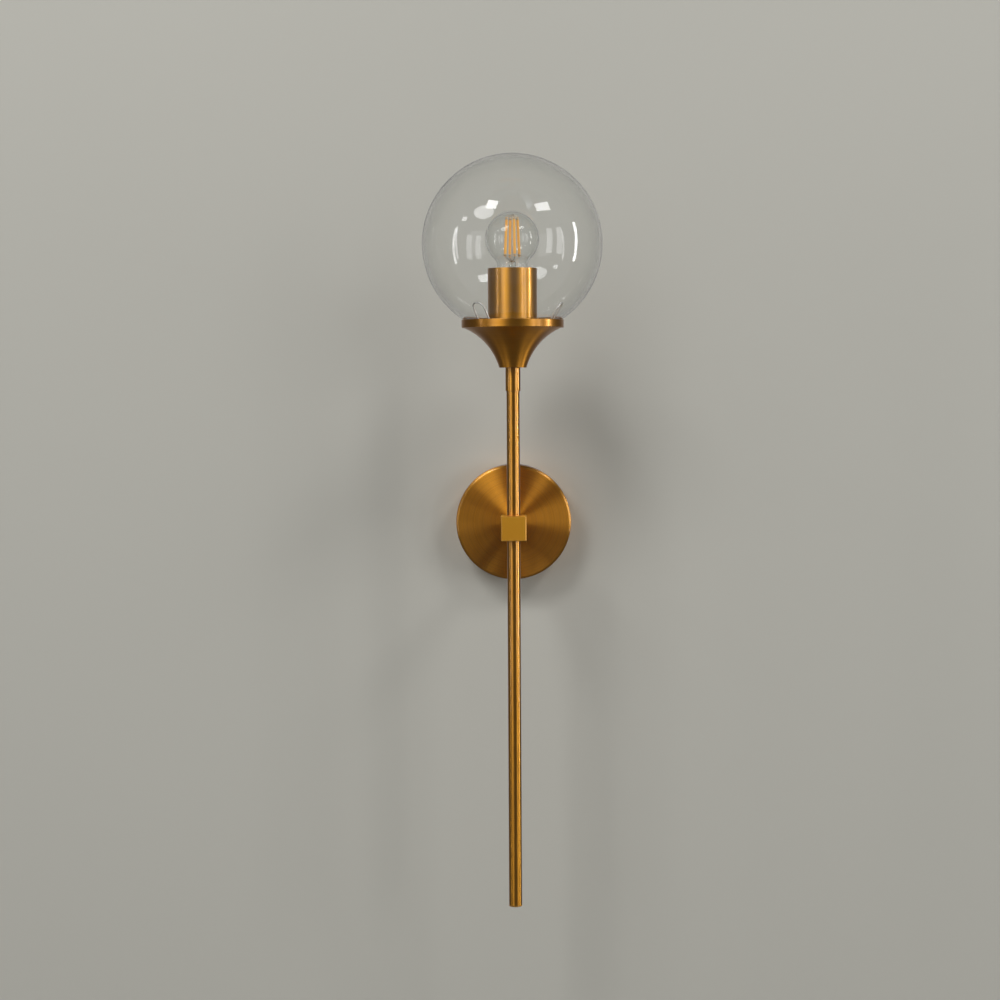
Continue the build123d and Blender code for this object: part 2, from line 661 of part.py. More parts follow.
def lamp_supports():
    """Middle post, two crossed bridges over it to the filaments' tops, and four leads from the stem."""
    low, top = filament_ends()
    hub_z = top[1] + ARM_RISE
    stem_z = tip_z + STEM_TOP
    pieces = [rod(SUPPORT_D / 2, stem_z - STEM_R, hub_z - SUPPORT_D / 2)]
    for i in range(FILAMENT_COUNT // 2):
        end_z = top[1] + SUPPORT_GAP
        over_z = hub_z + i * SUPPORT_D
        points = [(-top[0], 0, end_z), (-top[0], 0, over_z), (top[0], 0, over_z), (top[0], 0, end_z)]
        bridge = bent_wire(SUPPORT_D, points, [SUPPORT_BEND, SUPPORT_BEND])
        pieces.append(Rot(Z=FILAMENT_AZIMUTH + i * 360 / FILAMENT_COUNT) * bridge)
    lead_ends = (LEAD_ROOT_R, 0, stem_z + SUPPORT_D / 2), (low[0], 0, low[1] - SUPPORT_D / 2)
    lead = straight_wire(SUPPORT_D, *lead_ends)
    return COLUMN * together(pieces + around(FILAMENT_COUNT, FILAMENT_AZIMUTH, lead))


def lamp_stem():
    """Hollow glass stem that flares out to the neck, sealed round the post."""
    low = tip_z + CAP_HEIGHT - LAMP_NECK_IN_CAP
    top = tip_z + STEM_TOP
    wall = LAMP_GLASS_WALL
    rise = (top - low) / 2
    stem = turned(
        (STEM_FLARE_R, low), [((STEM_FLARE_R + STEM_R) / 2 - wall, low + rise * 0.42), (STEM_R, low + rise)],
        (STEM_R, top - wall), (STEM_R - wall, top), (0, top), (0, top - STEM_R),
        (STEM_R - wall, top - STEM_R), (STEM_R - wall, low + rise),
        [((STEM_FLARE_R + STEM_R) / 2 - 2 * wall, low + rise * 0.42 - wall / 2), (STEM_FLARE_R - wall, low)],
    )
    return COLUMN * (stem - rod(SUPPORT_D / 2, low, top))


def lamp_driver():
    """Small circuit board with one capacitor, standing on the black glass ring."""
    low = tip_z + GLASS_RING_TOP
    board = block(BOARD_SIZE, low)
    side = BOARD_SIZE[1] / 2 + CAPACITOR_D / 2 + THREAD_GAP
    capacitor = Pos(0, side, 0) * rod(CAPACITOR_D / 2, low, low + CAPACITOR_HEIGHT)
    return COLUMN * together([board, capacitor])


# ---------------------------------------------------------------- back plate and arm, out from the wall
def back_plate():
    """Spun dish with a rounded front edge, a middle hole and two side holes."""
    front = PLATE_DEPTH
    back = front - PLATE_WALL
    inner = PLATE_R - PLATE_WALL
    inner_round = PLATE_ROUND - PLATE_WALL
    turn = 1 - sqrt(0.5)
    dish = turned(
        (pass_r, front), (PLATE_R - PLATE_ROUND, front),
        [(PLATE_R - PLATE_ROUND * turn, front - PLATE_ROUND * turn), (PLATE_R, front - PLATE_ROUND)],
        (PLATE_R, 0), (inner, 0), (inner, back - inner_round),
        [(inner - inner_round * turn, back - inner_round * turn), (inner - inner_round, back)],
        (pass_r, back),
    )
    hole = rod(GRUB_D / 2 + PASS_GAP, inner - PLATE_WALL, PLATE_R + PLATE_WALL)
    for turn_y in (90, -90):
        dish -= Pos(0, 0, PLATE_SCREW_HEIGHT) * Rot(Y=turn_y) * hole
    return FROM_WALL * dish


def arm_tube():
    """Tube from the back plate to the cube, screwed into both."""
    return FROM_WALL * threaded_tube(PLATE_DEPTH, ARM_REACH - cube_half, ARM_THREAD, CUBE_THREAD)


def arm_washer():
    top = PLATE_DEPTH - PLATE_WALL
    return FROM_WALL * ring(WASHER_R, pass_r, top - WASHER_THICKNESS, top)


def arm_lock_nut():
    return FROM_WALL * hexagon_nut(PLATE_DEPTH - PLATE_WALL - WASHER_THICKNESS - NUT_HEIGHT, tapped_r)


def wall_bracket():
    """Steel strip with two turned-up tapped ears, a tab for the terminal block, slots and a cable hole."""
    half = BRACKET_SPAN / 2
    metal = BRACKET_METAL
    outline = [
        (-half, EAR_HEIGHT), (-half, 0), (half, 0), (half, EAR_HEIGHT), (half - metal, EAR_HEIGHT),
        (half - metal, metal), (-half + metal, metal), (-half + metal, EAR_HEIGHT),
    ]
    outline = make_face(Polyline(*[(x, 0, z) for x, z in outline], close=True))
    channel = extrude(outline, BRACKET_WIDTH / 2, both=True)
    bends = channel.edges().filter_by(Axis.Y).group_by(Axis.Z)
    channel = fillet(bends[0], BRACKET_BEND + metal)
    bends = channel.edges().filter_by(Axis.Y).filter_by(lambda edge: abs(edge.center().Z - metal) < 0.01)
    channel = fillet(bends.filter_by(lambda edge: abs(abs(edge.center().X) - half + metal) < 0.01), BRACKET_BEND)
    channel = fillet(channel.edges().filter_by(Axis.X).group_by(Axis.Z)[-1], EAR_ROUND)
    tab_low = -TAB_REACH
    tab = Pos(0, (tab_low - BRACKET_WIDTH / 2) / 2) * Rectangle(TAB_WIDTH, TAB_REACH - BRACKET_WIDTH / 2)
    bracket = channel + extrude(tab, metal)
    slots = Sketch() + [
        Pos(x, 0) * SlotOverall(WALL_SLOT_LENGTH, WALL_SLOT_WIDTH)
        for x in (-WALL_SLOT_SPACING / 2, WALL_SLOT_SPACING / 2)
    ]
    bracket -= extrude(slots + Circle(CABLE_HOLE_R), metal)
    bracket -= Pos(EARTH_X, 0, 0) * rod(EARTH_SCREW_D / 2 + THREAD_GAP, 0, metal)
    for x in (-BLOCK_SCREW_X, BLOCK_SCREW_X):
        bracket -= Pos(x, terminal_middle(), 0) * rod(BLOCK_SCREW_D / 2 + THREAD_GAP, 0, metal)
    bracket -= Pos(0, 0, PLATE_SCREW_HEIGHT) * Rot(Y=90) * rod(GRUB_D / 2 + THREAD_GAP, -half, half)
    return FROM_WALL * bracket


def plate_grub_screws():
    """Headless screws with a hexagon socket, through the plate's side into the ears."""
    end = PLATE_R - GRUB_SINK
    screw = rod(GRUB_D / 2, end - GRUB_LENGTH, end)
    screw -= Pos(0, 0, end - GRUB_SOCKET_DEPTH) * extrude(
        RegularPolygon(GRUB_SOCKET_AF / sqrt(3), 6), GRUB_SOCKET_DEPTH
    )
    return FROM_WALL * together([Pos(0, 0, PLATE_SCREW_HEIGHT) * Rot(Y=turn) * screw for turn in (90, -90)])


# ---------------------------------------------------------------- earth and terminals
def earth_screw():
    """Pan head screw that holds the earth lug on the bracket."""
    face = BRACKET_METAL + LUG_METAL
    screw = pan_head_screw(EARTH_SCREW_D, EARTH_SCREW_SHORT, face, EARTH_HEAD_R, EARTH_HEAD_HEIGHT)
    return FROM_WALL * Pos(EARTH_X, 0, 0) * screw


def lug_axis():
    """Height of the earth lug's barrel over the wall."""
    return BRACKET_METAL + LUG_BARREL_R


def earth_lug():
    """Crimped ring lug: a ring under the screw's head, a neck and a barrel that points down."""
    lug = ring(LUG_R, EARTH_SCREW_D / 2 + PASS_GAP, BRACKET_METAL, BRACKET_METAL + LUG_METAL)
    neck = Box(LUG_NECK, LUG_BARREL_START - LUG_R + 2, LUG_METAL, align=(Align.CENTER, Align.MAX, Align.MIN))
    lug += Pos(0, -LUG_R + 1, BRACKET_METAL) * neck
    barrel = ring(LUG_BARREL_R, LEAD_OD / 2 + THREAD_GAP, LUG_BARREL_START, LUG_BARREL_END)
    lug += Pos(0, 0, lug_axis()) * Rot(X=90) * barrel
    lug -= Pos(0, 0, lug_axis()) * Rot(X=90) * rod(LEAD_OD / 2 + THREAD_GAP, LUG_BARREL_START, LUG_BARREL_END)
    return FROM_WALL * Pos(EARTH_X, 0, 0) * lug


def terminal_middle():
    return TERMINAL_TOP - TERMINAL_LENGTH / 2


def pole_places():
    """The poles' positions across the terminal block."""
    return [(i - (POLE_COUNT - 1) / 2) * POLE_PITCH for i in range(POLE_COUNT)]


def screw_places():
    """The clamping screws' positions along each pole."""
    return [terminal_middle() - CLAMP_SCREWS_APART / 2, terminal_middle() + CLAMP_SCREWS_APART / 2]


def along_pole(piece):
    """A piece made about Z from height 0 up, laid along a pole from the terminal block's upper face down."""
    return Pos(0, TERMINAL_TOP, TERMINAL_AXIS) * Rot(X=90) * piece


def terminal_block():
    """Insulating strip on the bracket's tab: a base and one hump for each pole, bored for wires and screws."""
    size = (TERMINAL_BASE_WIDTH, TERMINAL_LENGTH, TERMINAL_BASE)
    body = Pos(0, terminal_middle(), 0) * block(size, BRACKET_METAL)
    top = BRACKET_METAL + TERMINAL_HEIGHT
    hump = block((POLE_WIDTH, TERMINAL_LENGTH, TERMINAL_HEIGHT), BRACKET_METAL)
    hump = chamfer(hump.edges().filter_by(Axis.Y).group_by(Axis.Z)[-1], POLE_WIDTH / 6)
    for x in pole_places():
        body += Pos(x, terminal_middle(), 0) * hump
    for x in pole_places():
        body -= Pos(x, 0, 0) * along_pole(rod(BARREL_R + THREAD_GAP, 0, TERMINAL_LENGTH))
        for y in screw_places():
            body -= Pos(x, y, 0) * rod(TERMINAL_SCREW_D / 2 + PASS_GAP, TERMINAL_AXIS, top)
    for x in (-BLOCK_SCREW_X, BLOCK_SCREW_X):
        body -= Pos(x, terminal_middle(), 0) * rod(BLOCK_SCREW_D / 2 + THREAD_GAP, BRACKET_METAL, top)
    return FROM_WALL * body


def terminal_barrels():
    """Brass tubes in the poles, tapped for the clamping screws."""
    inset = (TERMINAL_LENGTH - BARREL_LENGTH) / 2
    barrel = along_pole(ring(BARREL_R, BARREL_BORE_R, inset, inset + BARREL_LENGTH))
    tapped = rod(TERMINAL_SCREW_D / 2 + THREAD_GAP, TERMINAL_AXIS, TERMINAL_AXIS + TERMINAL_HEIGHT)
    for y in screw_places():
        barrel -= Pos(0, y, 0) * tapped
    return FROM_WALL * together([Pos(x, 0, 0) * barrel for x in pole_places()])


def terminal_screws():
    """Grub screws that clamp the wires in the barrels, their ends level with the humps."""
    low = TERMINAL_AXIS + LEAD_OD / 2 + THREAD_GAP
    high = BRACKET_METAL + TERMINAL_HEIGHT - THREAD_GAP
    screw = rod(TERMINAL_SCREW_D / 2, low, high)
    return FROM_WALL * together([Pos(x, y, 0) * screw for x in pole_places() for y in screw_places()])


def block_screws():
    """Screws that hold the terminal block on the bracket's tab."""
    face = BRACKET_METAL + TERMINAL_BASE
    screw = rod(BLOCK_SCREW_D / 2, EARTH_SCREW_SHORT, face)
    screw += rod(BLOCK_HEAD_R, face, face + BLOCK_HEAD_HEIGHT)
    return FROM_WALL * together([Pos(x, terminal_middle(), 0) * screw for x in (-BLOCK_SCREW_X, BLOCK_SCREW_X)])


# ---------------------------------------------------------------- inner leads
def holder_lead(pole_x, side):
    """Lead from its pole, through arm, cube and column, to its terminal post. Points are out from the wall."""
    x = side * LEAD_PAIR
    post_z = chamber_low + LEAD_OVER_NIPPLE
    post_x = side * (POST_X - POST_SIZE[0] / 2 + 1)
    points = [
        (pole_x, TERMINAL_TOP - LEAD_IN_BARREL - 2, TERMINAL_AXIS),
        (pole_x, -14, TERMINAL_AXIS),
        (x, -8, TERMINAL_AXIS),
        (x, 0, TERMINAL_AXIS),
        (x, 0, ARM_REACH),
        (x, post_z, ARM_REACH),
        (post_x, post_z, ARM_REACH),
    ]
    radii = [LEAD_DROP_RADIUS, LEAD_DROP_RADIUS, LEAD_DROP_RADIUS, LEAD_ELBOW, LEAD_TURN]
    return FROM_WALL * bent_wire(LEAD_OD, points, radii)


def live_wire():
    return holder_lead(pole_places()[2], 1)


def neutral_wire():
    return holder_lead(pole_places()[1], -1)


def earth_wire():
    """Lead from the earth lug to its pole."""
    pole_x = pole_places()[0]
    points = [
        (EARTH_X, -LUG_BARREL_START - 1, lug_axis()),
        (EARTH_X, -LUG_BARREL_END - 3, lug_axis()),
        (pole_x, TERMINAL_TOP + 2.5, TERMINAL_AXIS),
        (pole_x, TERMINAL_TOP - LEAD_IN_BARREL - 2, TERMINAL_AXIS),
    ]
    return FROM_WALL * bent_wire(LEAD_OD, points, [LEAD_DROP_RADIUS, LEAD_DROP_RADIUS])


NODES = [
    centre_block, upper_tube, lower_tube, tube_end_plug, ferrule, holder_nipple,
    trumpet_cup, cup_lock_nut, gallery_plate, seat_ring, globe_springs, spring_clamps, spring_screws, glass_globe,
    socket_sleeve, holder_cap, holder_skirt, contact_block, screw_shell, centre_contact, terminal_posts, post_screws,
    lamp_tip, lamp_insulator, lamp_cap, lamp_glass, lamp_filaments, lamp_supports, lamp_stem, lamp_driver,
    back_plate, arm_tube, arm_washer, arm_lock_nut, wall_bracket, plate_grub_screws,
    earth_screw, earth_lug, terminal_block, terminal_barrels, terminal_screws, block_screws,
    live_wire, neutral_wire, earth_wire,
]

os.makedirs("parts", exist_ok=True)
for make in NODES:
    export_step(make(), f"parts/{make.__name__}.step")
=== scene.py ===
"""Globe wall sconce: studio stage, detail pieces and procedural finishes on the frame.

Metres. The wall is the plane Y = 0, the light stands out of it towards -Y and +Z is up.
"""

from math import cos, pi, radians, sin, tau

import bmesh
import bpy
from bpy.props import FloatProperty, FloatVectorProperty, IntProperty, PointerProperty
from mathutils import Matrix, Vector


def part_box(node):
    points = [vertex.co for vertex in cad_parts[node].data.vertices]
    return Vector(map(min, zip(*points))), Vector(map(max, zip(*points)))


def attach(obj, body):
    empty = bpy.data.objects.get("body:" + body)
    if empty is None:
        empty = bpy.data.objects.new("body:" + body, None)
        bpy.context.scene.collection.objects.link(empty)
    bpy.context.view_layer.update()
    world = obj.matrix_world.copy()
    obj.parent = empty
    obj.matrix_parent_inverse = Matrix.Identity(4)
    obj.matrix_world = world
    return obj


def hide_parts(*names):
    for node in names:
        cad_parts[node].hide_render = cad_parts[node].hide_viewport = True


bl_info = {
    "name": "Globe Wall Sconce",
    "version": (1, 0, 0),
    "blender": (4, 5, 0),
    "location": "3D View > Sidebar > Sconce",
    "description": "Dresses the wall sconce: stage, detail pieces and procedural finishes",
    "category": "Object",
}

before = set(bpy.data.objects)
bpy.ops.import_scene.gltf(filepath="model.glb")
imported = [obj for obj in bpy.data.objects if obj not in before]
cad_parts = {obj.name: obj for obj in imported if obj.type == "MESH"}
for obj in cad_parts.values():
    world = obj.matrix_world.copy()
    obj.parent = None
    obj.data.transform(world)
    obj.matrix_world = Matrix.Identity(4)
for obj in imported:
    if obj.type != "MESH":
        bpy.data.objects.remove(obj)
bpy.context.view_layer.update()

COLUMN = Vector((0, -0.1, 0))          # the column's axis
GLOBE_CENTRE = Vector((0, -0.1, 0.2362))
FILAMENTS = 4
CLAMPS = 3
THREAD_PITCH = 0.003629                # E27
ALONG_THE_GRAIN = 0.25                 # rotation that turns highlights across the brush marks
SENSOR_WIDTH = 36                      # millimetres


def colour(name, description, value):
    """A linear colour setting."""
    return FloatVectorProperty(
        name=name, description=description, default=value, size=3, subtype="COLOR", min=0, max=1
    )


def length(name, description, value):
    """A length setting in metres."""
    return FloatProperty(name=name, description=description, default=value, unit="LENGTH")


def number(name, description, value):
    """A plain setting."""
    return FloatProperty(name=name, description=description, default=value)


# ---------------------------------------------------------------- node arithmetic
class Wire:
    """A node's output socket. Arithmetic on it adds Math nodes to its graph."""

    def __init__(self, graph, socket):
        self.graph = graph
        self.socket = socket

    def __add__(self, other):
        return self.graph.math("ADD", self, other)

    def __sub__(self, other):
        return self.graph.math("SUBTRACT", self, other)

    def __mul__(self, other):
        return self.graph.math("MULTIPLY", self, other)

    def __truediv__(self, other):
        return self.graph.math("DIVIDE", self, other)

    def __rsub__(self, other):
        return self.graph.math("SUBTRACT", other, self)

    def above(self, other):
        """1 where this is greater than the other, else 0."""
        return self.graph.math("GREATER_THAN", self, other)

    def between(self, low, high, to_low=0.0, to_high=1.0):
        """Smoothly mapped from the range low..high to to_low..to_high."""
        inputs = {"Value": self, "From Min": low, "From Max": high, "To Min": to_low, "To Max": to_high}
        return self.graph.node("ShaderNodeMapRange", inputs, interpolation_type="SMOOTHSTEP")

    __radd__ = __add__
    __rmul__ = __mul__


class Graph:
    """The node tree of one material or world, built from nothing."""

    def __init__(self, owner):
        owner.use_nodes = True
        self.tree = owner.node_tree
        self.tree.nodes.clear()

    def node(self, kind, inputs=None, output=0, **settings):
        """Adds one node: its settings first, then values or links of its sockets."""
        node = self.tree.nodes.new(kind)
        for name, value in settings.items():
            setattr(node, name, value)
        for name, value in (inputs or {}).items():
            if isinstance(value, Wire):
                self.tree.links.new(value.socket, node.inputs[name])
            else:
                node.inputs[name].default_value = value
        return Wire(self, node.outputs[output])

    def math(self, operation, *terms):
        return self.node("ShaderNodeMath", dict(enumerate(terms)), operation=operation)

    def vector(self, operation, *terms):
        return self.node("ShaderNodeVectorMath", dict(enumerate(terms)), operation=operation)

    def measure(self, operation, *terms):
        """The number that a vector operation gives."""
        inputs = dict(enumerate(terms))
        return self.node("ShaderNodeVectorMath", inputs, "Value", operation=operation)

    def place(self):
        """The point on the surface, in the object's own metres."""
        return self.node("ShaderNodeTexCoord", output="Object")

    def parts(self, vector):
        """X, Y and Z of a vector."""
        split = self.node("ShaderNodeSeparateXYZ", {0: vector})
        return [Wire(self, socket) for socket in split.socket.node.outputs]

    def joined(self, x, y, z):
        return self.node("ShaderNodeCombineXYZ", {0: x, 1: y, 2: z})

    def noise(self, place, scale, detail=2.0, roughness=0.5):
        inputs = {"Vector": place, "Scale": scale, "Detail": detail, "Roughness": roughness}
        return self.node("ShaderNodeTexNoise", inputs)

    def lines(self, distance, scale, detail=2.0):
        """Noise that changes with one distance only."""
        inputs = {"W": distance, "Scale": scale, "Detail": detail}
        return self.node("ShaderNodeTexNoise", inputs, noise_dimensions="1D")

    def cells(self, place, scale, output="Distance"):
        return self.node("ShaderNodeTexVoronoi", {"Vector": place, "Scale": scale}, output)

    def mix(self, first, second, factor):
        """A colour between two colours."""
        inputs = {0: factor, 6: opaque(first), 7: opaque(second)}
        return self.node("ShaderNodeMix", inputs, 2, data_type="RGBA")

    def bump(self, height, distance, strength):
        inputs = {"Strength": strength, "Distance": distance, "Height": height}
        return self.node("ShaderNodeBump", inputs)

    def principled(self, **sockets):
        """A Principled shader. Socket names are written with underscores."""
        inputs = {name.replace("_", " "): value for name, value in sockets.items()}
        return self.node("ShaderNodeBsdfPrincipled", inputs)

    def clear(self, level=1.0):
        return self.node("ShaderNodeBsdfTransparent", {"Color": (level, level, level, 1.0)})

    def surface(self, **sockets):
        """A Principled shader on the output."""
        self.node_output(self.principled(**sockets))

    def node_output(self, shader, kind="ShaderNodeOutputMaterial"):
        output = self.tree.nodes.new(kind)
        self.tree.links.new(shader.socket, output.inputs["Surface"])


def opaque(value):
    """A colour value with its alpha, or a wire as it is."""
    return value if isinstance(value, Wire) else (*value[:3], 1.0)


def shade(value, factor):
    """A colour value made darker or lighter."""
    return tuple(min(1.0, channel * factor) for channel in value[:3])


def finish_nodes(material, *names):
    """Gives frame nodes a material in every slot."""
    for name in names:
        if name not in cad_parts:
            raise RuntimeError(f"no node {name}")
        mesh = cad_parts[name].data
        for index in range(max(1, len(mesh.materials))):
            if index < len(mesh.materials):
                mesh.materials[index] = material
            else:
                mesh.materials.append(material)


def new_piece(name, bm, material, body, replaced=None):
    """Turns a bmesh into a smooth-shaded piece of the object."""
    mesh = bpy.data.meshes.new(name)
    bmesh.ops.recalc_face_normals(bm, faces=bm.faces[:])
    bm.to_mesh(mesh)
    bm.free()
    for polygon in mesh.polygons:
        polygon.use_smooth = True
    piece = bpy.data.objects.new(name, mesh)
    bpy.context.scene.collection.objects.link(piece)
    piece.data.materials.append(material)
    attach(piece, body)
    if replaced:
        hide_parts(replaced)


# ---------------------------------------------------------------- settings
class SconceStage(bpy.types.PropertyGroup):
    """Wall, floor, lights and camera."""

    wall: colour("Wall", "Painted wall board", (0.60, 0.59, 0.535))
    floor: colour("Floor", "Pale floor", (0.56, 0.555, 0.52))
    floor_height: length("Floor height", "Floor plane", -1.4)
    wall_size: length("Wall size", "Wall's height and half its width", 3.0)
    floor_size: length("Floor size", "Half the floor's width", 1.25)
    wall_gap: length("Wall gap", "Wall board behind the back plate", 0.0006)
    room: number("Room", "Strength of the world in front of the wall", 0.11)
    behind: number("Behind", "Strength of the world behind the wall", 0.30)
    background: number("Background", "World strength that the camera sees", 0.6)
    left_radiance: number("Left box", "Radiance of the overhead box on the left", 17.0)
    right_radiance: number("Right box", "Radiance of the overhead box on the right", 12.5)
    glow: number("Glow", "Radiance of the softer source beside the left box", 6.0)
    right_room: number("Right room", "Radiance of the broad source low on the right", 3.5)
    left_room: number("Left room", "Radiance of the broad source low on the left", 1.2)
    left_strip: number("Left strip", "Radiance of the side strip on the left", 6.0)
    right_strip: number("Right strip", "Radiance of the side strip on the right", 19.0)
    distance: length("Light distance", "Globe to lights", 3.0)
    camera_y: length("Camera reach", "Camera in front of the wall", 1.96)
    camera_z: length("Camera height", "Camera over the wall plate's middle", 0.1214)
    camera_pitch: number("Pitch", "Downward tilt in degrees", 2.247)
    camera_roll: number("Roll", "Roll in degrees", 0.3)
    camera_lens: number("Lens", "Focal length in millimetres", 80.38)
    shift_x: number("Shift X", "Horizontal shift", -0.0134)
    shift_y: number("Shift Y", "Vertical shift", -0.030)


class SconceBrass(bpy.types.PropertyGroup):
    """Brushed brass."""

    gold: colour("Gold", "Bright brushed brass", (0.76, 0.350, 0.033))
    brown: colour("Brown", "Toned brass", (0.42, 0.155, 0.018))
    # Pale serves the brush lines and worn edges, and also paints highlights along convex edges.
    pale: colour("Pale", "Worn edges", (0.92, 0.62, 0.24))
    bright: colour("Bright", "Freshly ground flat faces", (0.95, 0.48, 0.042))
    roughness: number("Roughness", "Base roughness", 0.36)
    line_scale: number("Brush lines", "Lines for each metre", 3200.0)


class SconceGlass(bpy.types.PropertyGroup):
    """Globe and lamp glass."""

    tint: colour("Tint", "Clear glass", (0.985, 0.99, 0.985))
    ior: number("IOR", "Index of refraction", 1.46)
    wobble: length("Wobble", "Height of the blown surface's waves", 0.0004)


class SconceMetal(bpy.types.PropertyGroup):
    """Plated and plain metals."""

    zinc: colour("Zinc", "Zinc plated steel", (0.62, 0.64, 0.66))
    steel: colour("Spring steel", "Bright spring wire", (0.90, 0.89, 0.86))
    nickel: colour("Nickel", "Nickel plated contacts", (0.66, 0.62, 0.55))
    tin: colour("Tin", "Tinned copper", (0.74, 0.72, 0.69))
    wire: colour("Lamp wire", "Leads inside the lamp", (0.60, 0.50, 0.38))


class SconceInsulation(bpy.types.PropertyGroup):
    """Plastics, ceramic and wire insulation."""

    black: colour("Black", "Moulded black thermoset", (0.022, 0.021, 0.020))
    white: colour("White", "Moulded white plastic", (0.74, 0.73, 0.69))
    silicone: colour("Silicone", "Seat ring", (0.30, 0.29, 0.27))
    ceramic: colour("Ceramic", "Glazed steatite", (0.80, 0.78, 0.72))
    board: colour("Board", "Circuit board", (0.06, 0.22, 0.09))
    live: colour("Live", "Brown insulation", (0.16, 0.055, 0.02))
    neutral: colour("Neutral", "Blue insulation", (0.02, 0.09, 0.42))
    earth_green: colour("Earth green", "Green of the earth wire", (0.03, 0.30, 0.06))
    earth_yellow: colour("Earth yellow", "Yellow of the earth wire", (0.80, 0.62, 0.02))


class SconceLamp(bpy.types.PropertyGroup):
    """Filaments, their end collars and the threaded cap."""

    phosphor: colour("Phosphor", "Amber coating", (0.80, 0.38, 0.040))
    # Painted glow: the filaments' emission strength, which makes them glow though the lamp is unlit.
    glow: number("Glow", "Emission of the amber coating", 0.30)
    collar_radius: length("Collar radius", "Metal collar at a filament's end", 0.00128)
    collar_length: length("Collar length", "Along the filament", 0.0014)
    filament_low_radius: length("Low radius", "Filaments' lower ends from the axis", 0.0063)
    filament_top_radius: length("Top radius", "Filaments' upper ends from the axis", 0.0048)
    filament_turn: number("Turn", "First filament's azimuth in degrees", 19.5)
    pitch: length("Pitch", "Thread pitch", THREAD_PITCH)
    crest: length("Crest", "Thread crest radius", 0.0132)
    root: length("Root", "Thread root radius", 0.0123)
    collar_top: length("Cap collar", "Height of the cap's smooth collar", 0.004)
    metal: length("Metal", "Sheet thickness", 0.00035)
    steps: IntProperty(name="Steps", description="Mesh steps round the thread", default=96, min=24)


class SconceScrews(bpy.types.PropertyGroup):
    """Cross-recessed heads on the spring clamps."""

    head_radius: length("Head radius", "Pan head", 0.00275)
    head_height: length("Head height", "Pan head", 0.0016)
    shank_radius: length("Shank radius", "Thread", 0.0015)
    recess_depth: length("Recess depth", "Cross recess", 0.0009)
    recess_width: length("Recess width", "Width of one wing", 0.00055)
    recess_reach: length("Recess reach", "Wing's length from the middle", 0.0014)
    clamp_radius: length("Clamp radius", "Screws from the axis", 0.026)
    first_azimuth: number("Azimuth", "First screw in degrees", -14.0)


# ---------------------------------------------------------------- brass
def brass_parts(graph, settings, brush, tone, drift=1.0):
    """Base colour and roughness of brass whose brush marks follow the brush wire; tone 0 gold, 1 brown.

    The drift is how far the roughness varies. On a thin tube it breaks up the narrow highlight.
    """
    place = graph.place()
    cloud = graph.noise(place, 26.0, 4.0, 0.6).between(0.3, 0.72)
    smudge = graph.noise(place, 85.0, 3.0, 0.55).between(0.35, 0.75)
    base = graph.mix(settings.gold, settings.brown, cloud * 0.22 + tone)
    base = graph.mix(base, settings.brown, brush.between(0.48, 0.72, 0.0, 0.34))
    base = graph.mix(base, settings.pale, brush.between(0.28, 0.50, 0.14, 0.0))
    rough = settings.roughness + (smudge * 0.07 + (brush - 0.5) * 0.16) * drift
    return base, rough


def lacquer(graph):
    """Weight of the clear lacquer, a little thinner in places."""
    return graph.noise(graph.place(), 40.0).between(0.3, 0.7, 0.70, 0.95)


def worn_and_highlit_edges(graph, base, settings, radius=0.0012, amount=0.55):
    """Paints convex edges paler, from a bevel-softened normal: partly worn metal, partly a painted
    highlight along the edges.
    """
    soft = graph.node("ShaderNodeBevel", {"Radius": radius}, samples=4)
    sharp = graph.node("ShaderNodeNewGeometry", output="Normal")
    turn = 1.0 - graph.measure("DOT_PRODUCT", soft, sharp)
    grain = graph.noise(graph.place(), 900.0, 2.0)
    return graph.mix(base, settings.pale, turn.between(0.02, 0.22) * (grain * 0.8 + 0.3) * amount)


def turned_brass(
    name, settings, tone=0.0, anisotropic=0.92, rough=0.0, grain=1.0, coat=1.0, film=0.22, drift=1.0
):
    """Brass brushed round the column's axis.

    The grain is how strongly its brush lines show, the coat how much lacquer it has, the film
    the lacquer's roughness and the drift how far the metal's roughness varies.
    """
    material = bpy.data.materials.new(name)
    graph = Graph(material)
    z = graph.parts(graph.place())[2]
    brush = (graph.lines(z, settings.line_scale, 3.0) - 0.5) * grain + 0.5
    base, roughness = brass_parts(graph, settings, brush, tone, drift)
    base = worn_and_highlit_edges(graph, base, settings)
    graph.surface(
        Base_Color=base, Metallic=1.0, Roughness=roughness + rough, Anisotropic=anisotropic,
        Anisotropic_Rotation=ALONG_THE_GRAIN, Normal=graph.bump(brush, 0.000012, 0.35),
        Coat_Weight=lacquer(graph) * coat, Coat_Roughness=film,
    )
    return material


def spun_brass(name, settings):
    """Brass brushed in rings about its own Z, so that light falls on it in fans."""
    material = bpy.data.materials.new(name)
    graph = Graph(material)
    x, y, z = graph.parts(graph.place())
    radius = graph.measure("LENGTH", graph.joined(x, y, 0.0))
    along = radius - z * 0.7
    fine = graph.lines(along, settings.line_scale, 4.0)
    broad = graph.lines(along, settings.line_scale * 0.12, 2.0)
    base, roughness = brass_parts(graph, settings, fine, 0.0)
    base = graph.mix(base, settings.brown, broad.between(0.4, 0.7) * 0.18)
    base = worn_and_highlit_edges(graph, base, settings, 0.0014)
    graph.surface(
        Base_Color=base, Metallic=1.0, Roughness=roughness + 0.05, Anisotropic=0.97,
        Anisotropic_Rotation=ALONG_THE_GRAIN, Normal=graph.bump(fine, 0.000006, 0.3),
        Coat_Weight=lacquer(graph), Coat_Roughness=0.16,
    )
    return material


